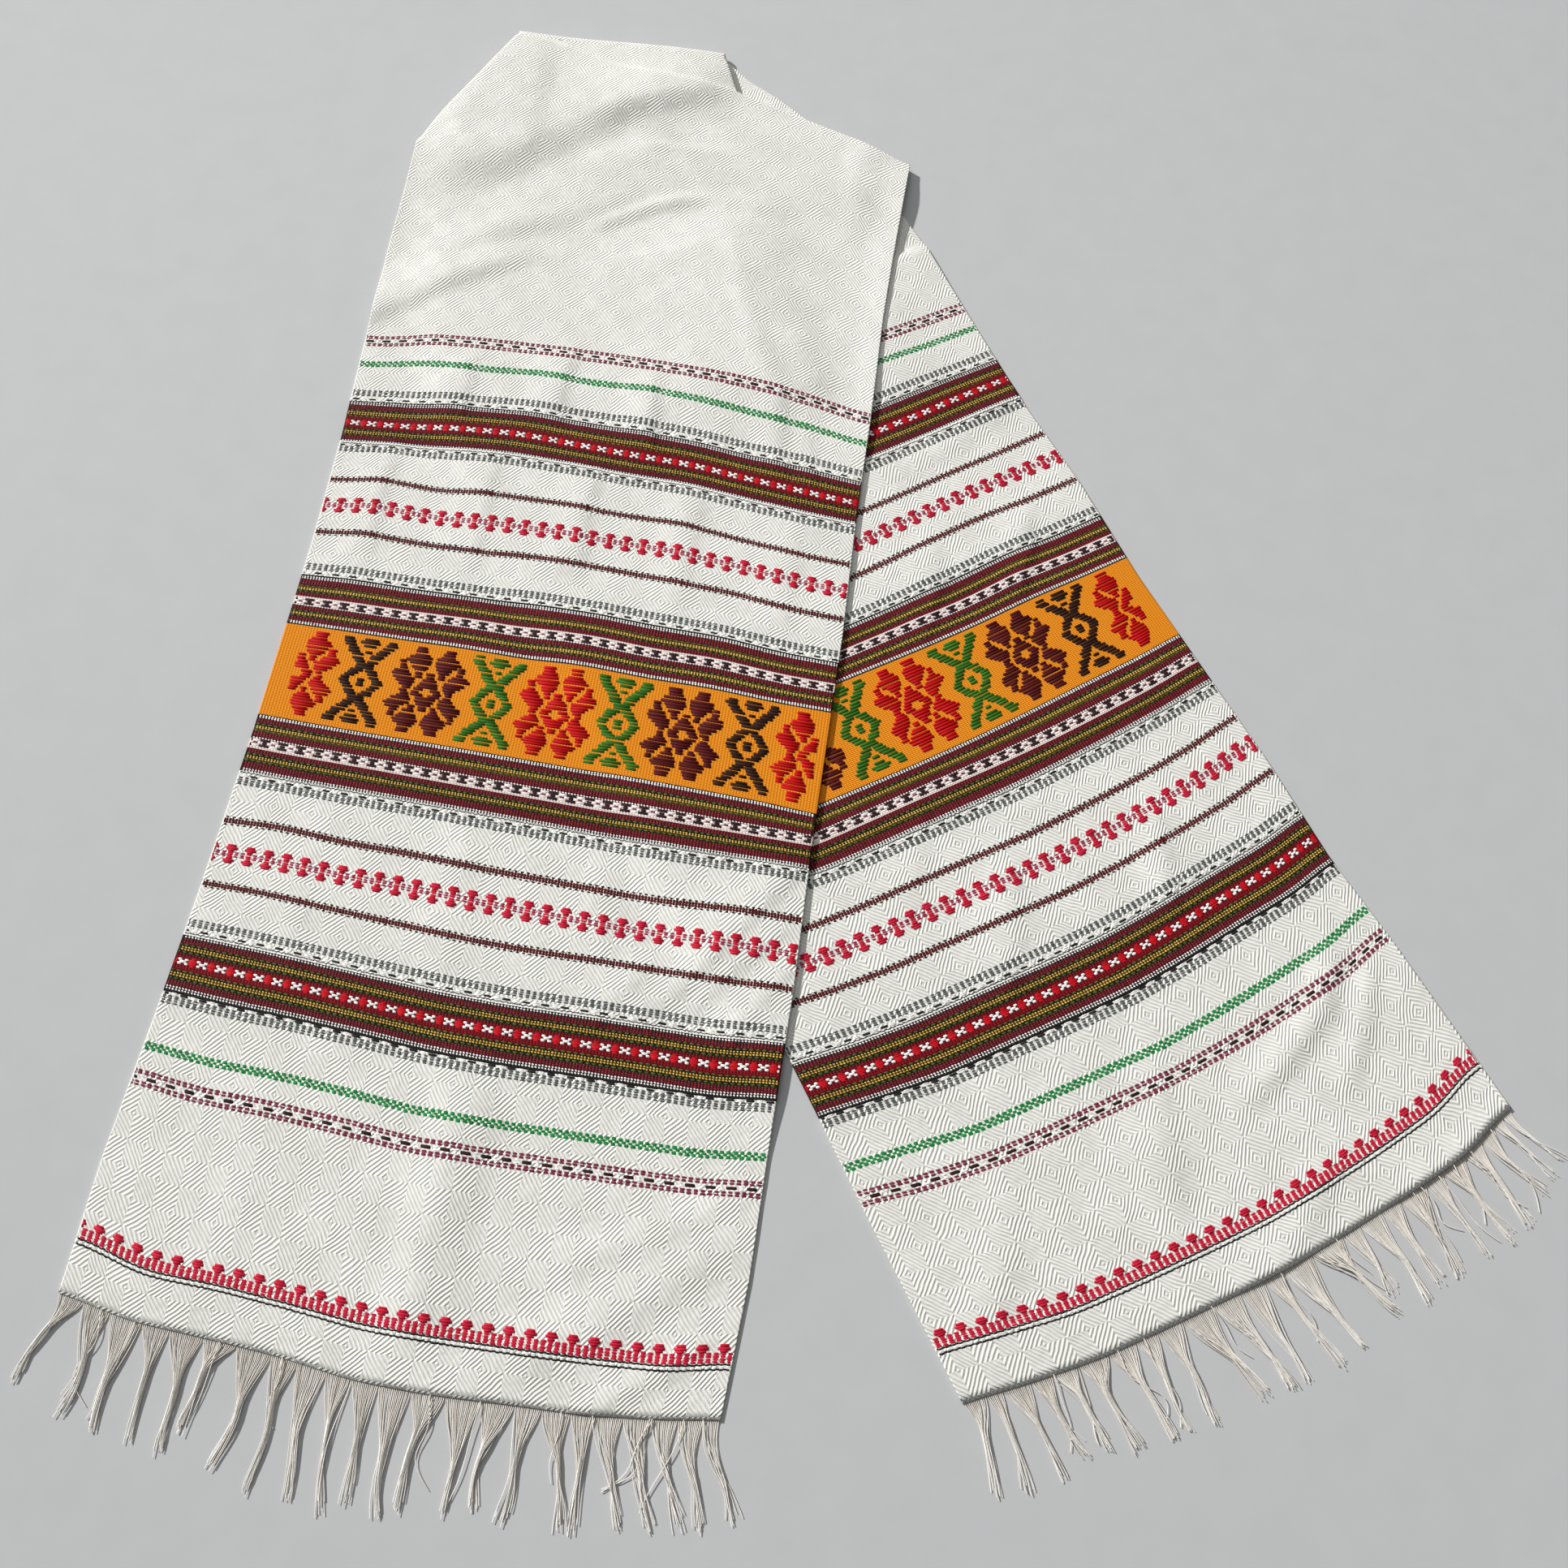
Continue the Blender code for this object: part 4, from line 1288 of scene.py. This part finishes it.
def carry_shade(piece, shade):
    """Gives each point of a piece the number by which its yarn's colour drifts."""
    carried = piece.data.attributes.new("shade", "FLOAT", "POINT")
    carried.data.foreach_set("value", shade.astype(np.float32))


def make_floats(yarn):
    """All the floats of one yarn, as one piece."""
    parts = []
    total = 0
    for name, end, second in (("front", FRONT, False), ("back", BACK, True)):
        for laid in floats.get(yarn, []) + field_floats[name].get(yarn, []):
            if len(laid[1]):
                points, sides, rows, shade, faces = float_points(end, *laid)
                parts.append((points, sides, rows, shade, faces + total, np.full(len(shade), second)))
                total += len(points)
    points, sides, rows, shade, faces, second = (np.concatenate(column) for column in zip(*parts))
    corners = np.stack([sides, rows], axis=-1)[faces].reshape(-1, 2)
    baked = bake_place(sides, rows, second)[faces].reshape(-1, 2)
    maps = (("weave", corners), ("OFBake", baked))
    made = new_piece("floats_" + yarn, points, faces, maps, yarn_finish(yarn))
    carry_shade(made, shade)
    print("triangles of", yarn, 2 * len(faces))
    return made


brocade = [make_floats(yarn) for yarn in YARNS]

# %% [markdown]
# The fringe is the warp itself, left unwoven past the hem: about one thread a millimetre, gathered by
# handling into locks that twist a little and fan out at their tips. Hair strands would not leave the
# scene as plain meshes, so each thread is a fine tube of three sides. These tables list the locks, hem by
# hem, as they lie: which threads each one gathers, and where its tip ends.
# %% The locks of the fringe
# Columns: first root, last root, tip's side, tip's distance along the end
FRONT["locks"] = (
    (-180, -166, -188, 671),
    (-166, -151, -161, 682),
    (-151, -133, -142, 686),
    (-133, -118, -123, 688),
    (-118, -100, -104, 690),
    (-100, -82, -96, 678),
    (-82, -63, -75, 692),
    (-63, -49, -55, 700),
    (-49, -33, -38, 700),
    (-33, -19, -19, 703),
    (-19, -5, -9, 697),
    (-5, 12, 10, 700),
    (12, 30, 16, 696),
    (30, 48, 42, 693),
    (48, 66, 55, 690),
    (66, 80, 70, 691),
    (80, 95, 98, 691),
    (95, 108, 106, 692),
    (108, 122, 127, 686),
    (122, 136, 141, 683),
    (136, 150, 157, 681),
    (150, 163, 169, 681),
    (163, 171, 187, 673),
)
BACK["locks"] = (
    (-175, -163, -181, 674),
    (-163, -154, -165, 679),
    (-154, -139, -146, 682),
    (-139, -127, -129, 678),
    (-127, -112, -119, 679),
    (-112, -95, -104, 687),
    (-95, -79, -85, 692),
    (-79, -66, -76, 690),
    (-66, -51, -59, 693),
    (-51, -32, -31, 692),
    (-32, -15, -17, 697),
    (-15, 0, -7, 699),
    (0, 12, 12, 700),
    (12, 31, 29, 696),
    (31, 52, 56, 690),
    (52, 64, 60, 682),
    (64, 79, 78, 692),
    (79, 92, 88, 689),
    (92, 110, 97, 691),
    (110, 122, 118, 690),
    (122, 139, 135, 688),
    (139, 153, 149, 686),
    (153, 164, 167, 677),
    (164, 172, 179, 671),
    (172, 179, 188, 668),
)
print("locks", len(FRONT["locks"]), "and", len(BACK["locks"]))

# %% [markdown]
# A thread starts inside the hem, leans towards its lock, turns with it, and parts from it again near the
# tip. A few are loose and join late, and some have left their lock for good. All of them rest on the
# table, one upon another, so that the fringe lies flat.
# %% The way of each thread
THREAD_PITCH = 0.98
THREAD_RADIUS = 0.31
THREAD_STEPS = 14
THREAD_SIDES = 3
REACH = np.linspace(0.0, 1.0, THREAD_STEPS + 1)
FEWEST_THREADS = 5
HEM_OVERLAP = 1.2
OFF_THE_TABLE = 0.06
LENGTH_VARIES = 2.2
LOOSE_SHARE = 0.18
STRANDS = 3


def lock_threads(end, first, last, tip_side, tip_along):
    """The middle lines of the threads of one lock."""
    width = last - first
    count = max(FEWEST_THREADS, round(width / THREAD_PITCH))
    order = np.linspace(-1.0, 1.0, count)
    middle = (first + last) / 2
    roots = middle + order * (width - 0.8) / 2 + random.normal(0, 0.08, count)
    start = HEM_ROW - HEM_OVERLAP + field_at(end["field"], roots, np.full(count, HEM_ROW))
    length = tip_along - start + random.normal(0.0, LENGTH_VARIES, count)
    along = start[:, None] + length[:, None] * REACH
    # How far each thread has been drawn into the lock, at each step along it
    loose = np.where(random.uniform(0.0, 1.0, count) < LOOSE_SHARE, random.uniform(1.2, 1.7, count), 1.0)
    gathered = random.uniform(0.3, 0.6) * (loose * random.uniform(0.85, 1.12, count))[:, None]
    share = np.clip((REACH - 0.04) / gathered, 0.0, 1.0)
    drawn = 0.55 * share + 0.45 * smooth_step(share)
    # The lock's own way, and each thread's place round it and in the strands that part at its tip
    bend = random.normal(0.0, 1.5) * np.sin(math.pi * REACH)
    bend = bend + random.normal(0.0, 0.5) * np.sin(2 * math.pi * REACH)
    core = middle + (tip_side - middle) * REACH**1.2 + bend
    strand = np.digitize(order, np.sort(random.uniform(-0.8, 0.8, STRANDS - 1)))
    apart = random.normal(0.0, 1.9, STRANDS)[strand][:, None]
    around = np.arccos(order)[:, None] + random.uniform(-2.4, 2.4) * REACH
    fan = smooth_step((REACH - 0.5) / 0.5)
    off = (0.6 + 0.05 * width) * np.cos(around) + fan * (apart + random.normal(0.0, 0.9, count)[:, None])
    side = roots[:, None] * (1 - drawn) + (core + off) * drawn
    thick = (0.3 + 0.02 * width) * (1.0 - 0.45 * fan)
    height = THREAD_RADIUS + OFF_THE_TABLE + thick * (1.0 + np.sin(around)) * drawn
    height = np.where(REACH < 0.06, FLOOR_LEVEL, height)
    return on_table(end, side, along), height


def stray_threads(end, count):
    """A few threads that left their lock and lie across the others."""
    left, right = selvedges(end, HEM_ROW)
    roots = random.uniform(left + 6, right - 6, count)
    start = HEM_ROW - HEM_OVERLAP + field_at(end["field"], roots, np.full(count, HEM_ROW))
    along = start[:, None] + random.uniform(30, 52, count)[:, None] * REACH
    swing = random.normal(0.0, 9.0, count)[:, None] * REACH**1.5
    curl = random.normal(0.0, 4.0, count)[:, None] * np.sin(2.2 * math.pi * REACH)
    height = 1.9 - 1.2 * REACH[None] + np.zeros((count, 1))
    height[:, 0] = FLOOR_LEVEL
    return on_table(end, roots[:, None] + swing + curl * REACH, along), height


# %% [markdown]
# Now the tubes. A thread is limp where it leaves the hem. It carries painted shade along its length,
# darker at the hem and paler towards its tip, as well as a tone of its own.
# %% The threads
TIP_SHARE = 0.7
STRAYS = 12
THREAD_SHADE = 0.6
HEM_PAINTED_SHADE = 0.45


def thread_tubes(lines):
    """Fine tubes along the threads' middle lines, thinner at their tips."""
    count, stations = lines.shape[:2]
    ahead = np.gradient(lines, axis=1)
    ahead /= np.linalg.norm(ahead, axis=2, keepdims=True)
    beside = np.cross(ahead, [0.0, 0.0, 1.0])
    beside /= np.linalg.norm(beside, axis=2, keepdims=True)
    above = np.cross(beside, ahead)
    radius = THREAD_RADIUS * np.linspace(1.0, TIP_SHARE, stations)[None, :, None, None]
    angles = 2 * math.pi * np.arange(THREAD_SIDES) / THREAD_SIDES
    ring = np.cos(angles)[:, None] * beside[:, :, None] + np.sin(angles)[:, None] * above[:, :, None]
    points = (lines[:, :, None] + radius * ring).reshape(-1, 3)
    station = np.arange(stations - 1)[:, None] * THREAD_SIDES
    here = station + np.arange(THREAD_SIDES)
    nearby = station + (np.arange(THREAD_SIDES) + 1) % THREAD_SIDES
    tube = np.stack([here, nearby, nearby + THREAD_SIDES, here + THREAD_SIDES], axis=-1).reshape(-1, 4)
    faces = tube[None] + np.arange(count)[:, None, None] * stations * THREAD_SIDES
    return points, faces.reshape(-1, 4)


def fringe_finish():
    fringe = Shader("warp_threads", 0.8)
    shade = fringe.node("ShaderNodeAttribute", attribute_name="shade").outputs["Fac"]
    place = fringe.node("ShaderNodeTexCoord").outputs["Object"]
    fleck = fringe.noise(place, 600.0, 2.0)
    # The shade attribute holds each thread's own tone and its painted shade along its length.
    share = fringe.maths("MULTIPLY_ADD", shade, 0.7, fringe.maths("MULTIPLY", fleck, 0.3))
    colour = fringe.mix(share, dye(204, 192, 175), dye(255, 253, 247))
    fringe.feed(fringe.surface.inputs["Base Color"], colour)
    fringe.bump(fleck, 0.1 * MM)
    return fringe.material


def make_fringe(name, end, material):
    lines = [lock_threads(end, *lock) for lock in end["locks"]] + [stray_threads(end, STRAYS)]
    lines = np.concatenate([np.concatenate([place, height[..., None]], axis=-1) for place, height in lines])
    points, faces = thread_tubes(lines)
    # A random tone for each thread, plus painted shade: darker at the hem, paler towards the tip.
    shade = THREAD_SHADE * random.uniform(0, 1, len(lines))[:, None] + HEM_PAINTED_SHADE * REACH
    made = new_piece(name, points, faces, (), material)
    carry_shade(made, np.repeat(shade.ravel(), THREAD_SIDES))
    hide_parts("fringe_" + name.split("_")[-1])
    print(name, "threads", len(lines))
    return made


warp_threads = fringe_finish()
fringes = [make_fringe("threads_front", FRONT, warp_threads), make_fringe("threads_back", BACK, warp_threads)]

# %% [markdown]
# The towel is shown on a plain pale table, wide enough that no view finds its edge.
# %% The table
TABLE_REACH = 3.0


def make_floor():
    data = bpy.data.meshes.new("floor")
    corners = [(x * TABLE_REACH, y * TABLE_REACH, 0) for x, y in ((-1, -1), (1, -1), (1, 1), (-1, 1))]
    data.from_pydata(corners, [], [(0, 1, 2, 3)])
    made = bpy.data.objects.new("floor", data)
    bpy.context.scene.collection.objects.link(made)
    pale = Shader("pale_table", 0.7)
    grain = pale.noise(pale.node("ShaderNodeTexCoord").outputs["Object"], 40.0, 3.0)
    pale.feed(pale.surface.inputs["Base Color"], pale.mix(grain, dye(186, 186, 186), dye(192, 192, 192)))
    data.materials.append(pale.material)
    print("table reaches", TABLE_REACH, "metres each way")
    return made


floor = make_floor()

# %% [markdown]
# The camera looks down steeply through a rather wide lens, from three quarters of a metre over the towel.
# Its place, in the towel's own millimetres, and its two turns were worked out from the corners and the
# straight rows of both ends, since a cloth's width is the same all along it.
# %% The camera
EYE = np.array([37.6, -357.8, 776.6])
CAMERA_TILT = math.radians(22.354)
CAMERA_ROLL = math.radians(5.277)
CAMERA_LENS = 31.44


def make_camera():
    data = bpy.data.cameras.new("camera")
    data.lens = CAMERA_LENS
    data.sensor_width = 36.0
    data.sensor_fit = "HORIZONTAL"
    data.clip_start = 0.01
    made = bpy.data.objects.new("camera", data)
    made.matrix_world = Matrix.Translation(Vector(in_metres(EYE))) @ (
        Matrix.Rotation(CAMERA_TILT, 4, "X") @ Matrix.Rotation(CAMERA_ROLL, 4, "Z")
    )
    bpy.context.scene.collection.objects.link(made)
    bpy.context.scene.camera = made
    print("camera at", made.matrix_world.translation)


make_camera()

# %% [markdown]
# One low light from the upper left rakes over the cloth, and brings out its weave and its folds. A soft
# one overhead and a faint even glow fill the shadows, as a bright room would.
# %% The light
WINDOW_TOWARDS = (0.74, -0.50, -0.48)
WINDOW_SOFTNESS = math.radians(2.5)
SKY_TOWARDS = (0.35, -0.45, -1.0)
GLOW = (0.93, 0.96, 1.0, 1.0)


def make_light(name, kind, towards, away, energy, **settings):
    data = bpy.data.lights.new(name, kind)
    data.energy = energy
    for key, value in settings.items():
        setattr(data, key, value)
    made = bpy.data.objects.new(name, data)
    made.location = -Vector(towards).normalized() * away
    made.rotation_euler = Vector(towards).to_track_quat("-Z", "Y").to_euler()
    bpy.context.scene.collection.objects.link(made)


def make_glow(strength):
    world = bpy.data.worlds.new("studio")
    world.use_nodes = True
    background = world.node_tree.nodes["Background"]
    background.inputs["Color"].default_value = GLOW
    background.inputs["Strength"].default_value = strength
    bpy.context.scene.world = world


make_light("window", "SUN", WINDOW_TOWARDS, 2.0, 4.7, angle=WINDOW_SOFTNESS)
make_light("sky", "AREA", SKY_TOWARDS, 1.5, 4.6, size=1.2)
make_glow(0.2)
bpy.context.scene.view_settings.view_transform = "Standard"
print("lights", [made.name for made in bpy.data.lights])
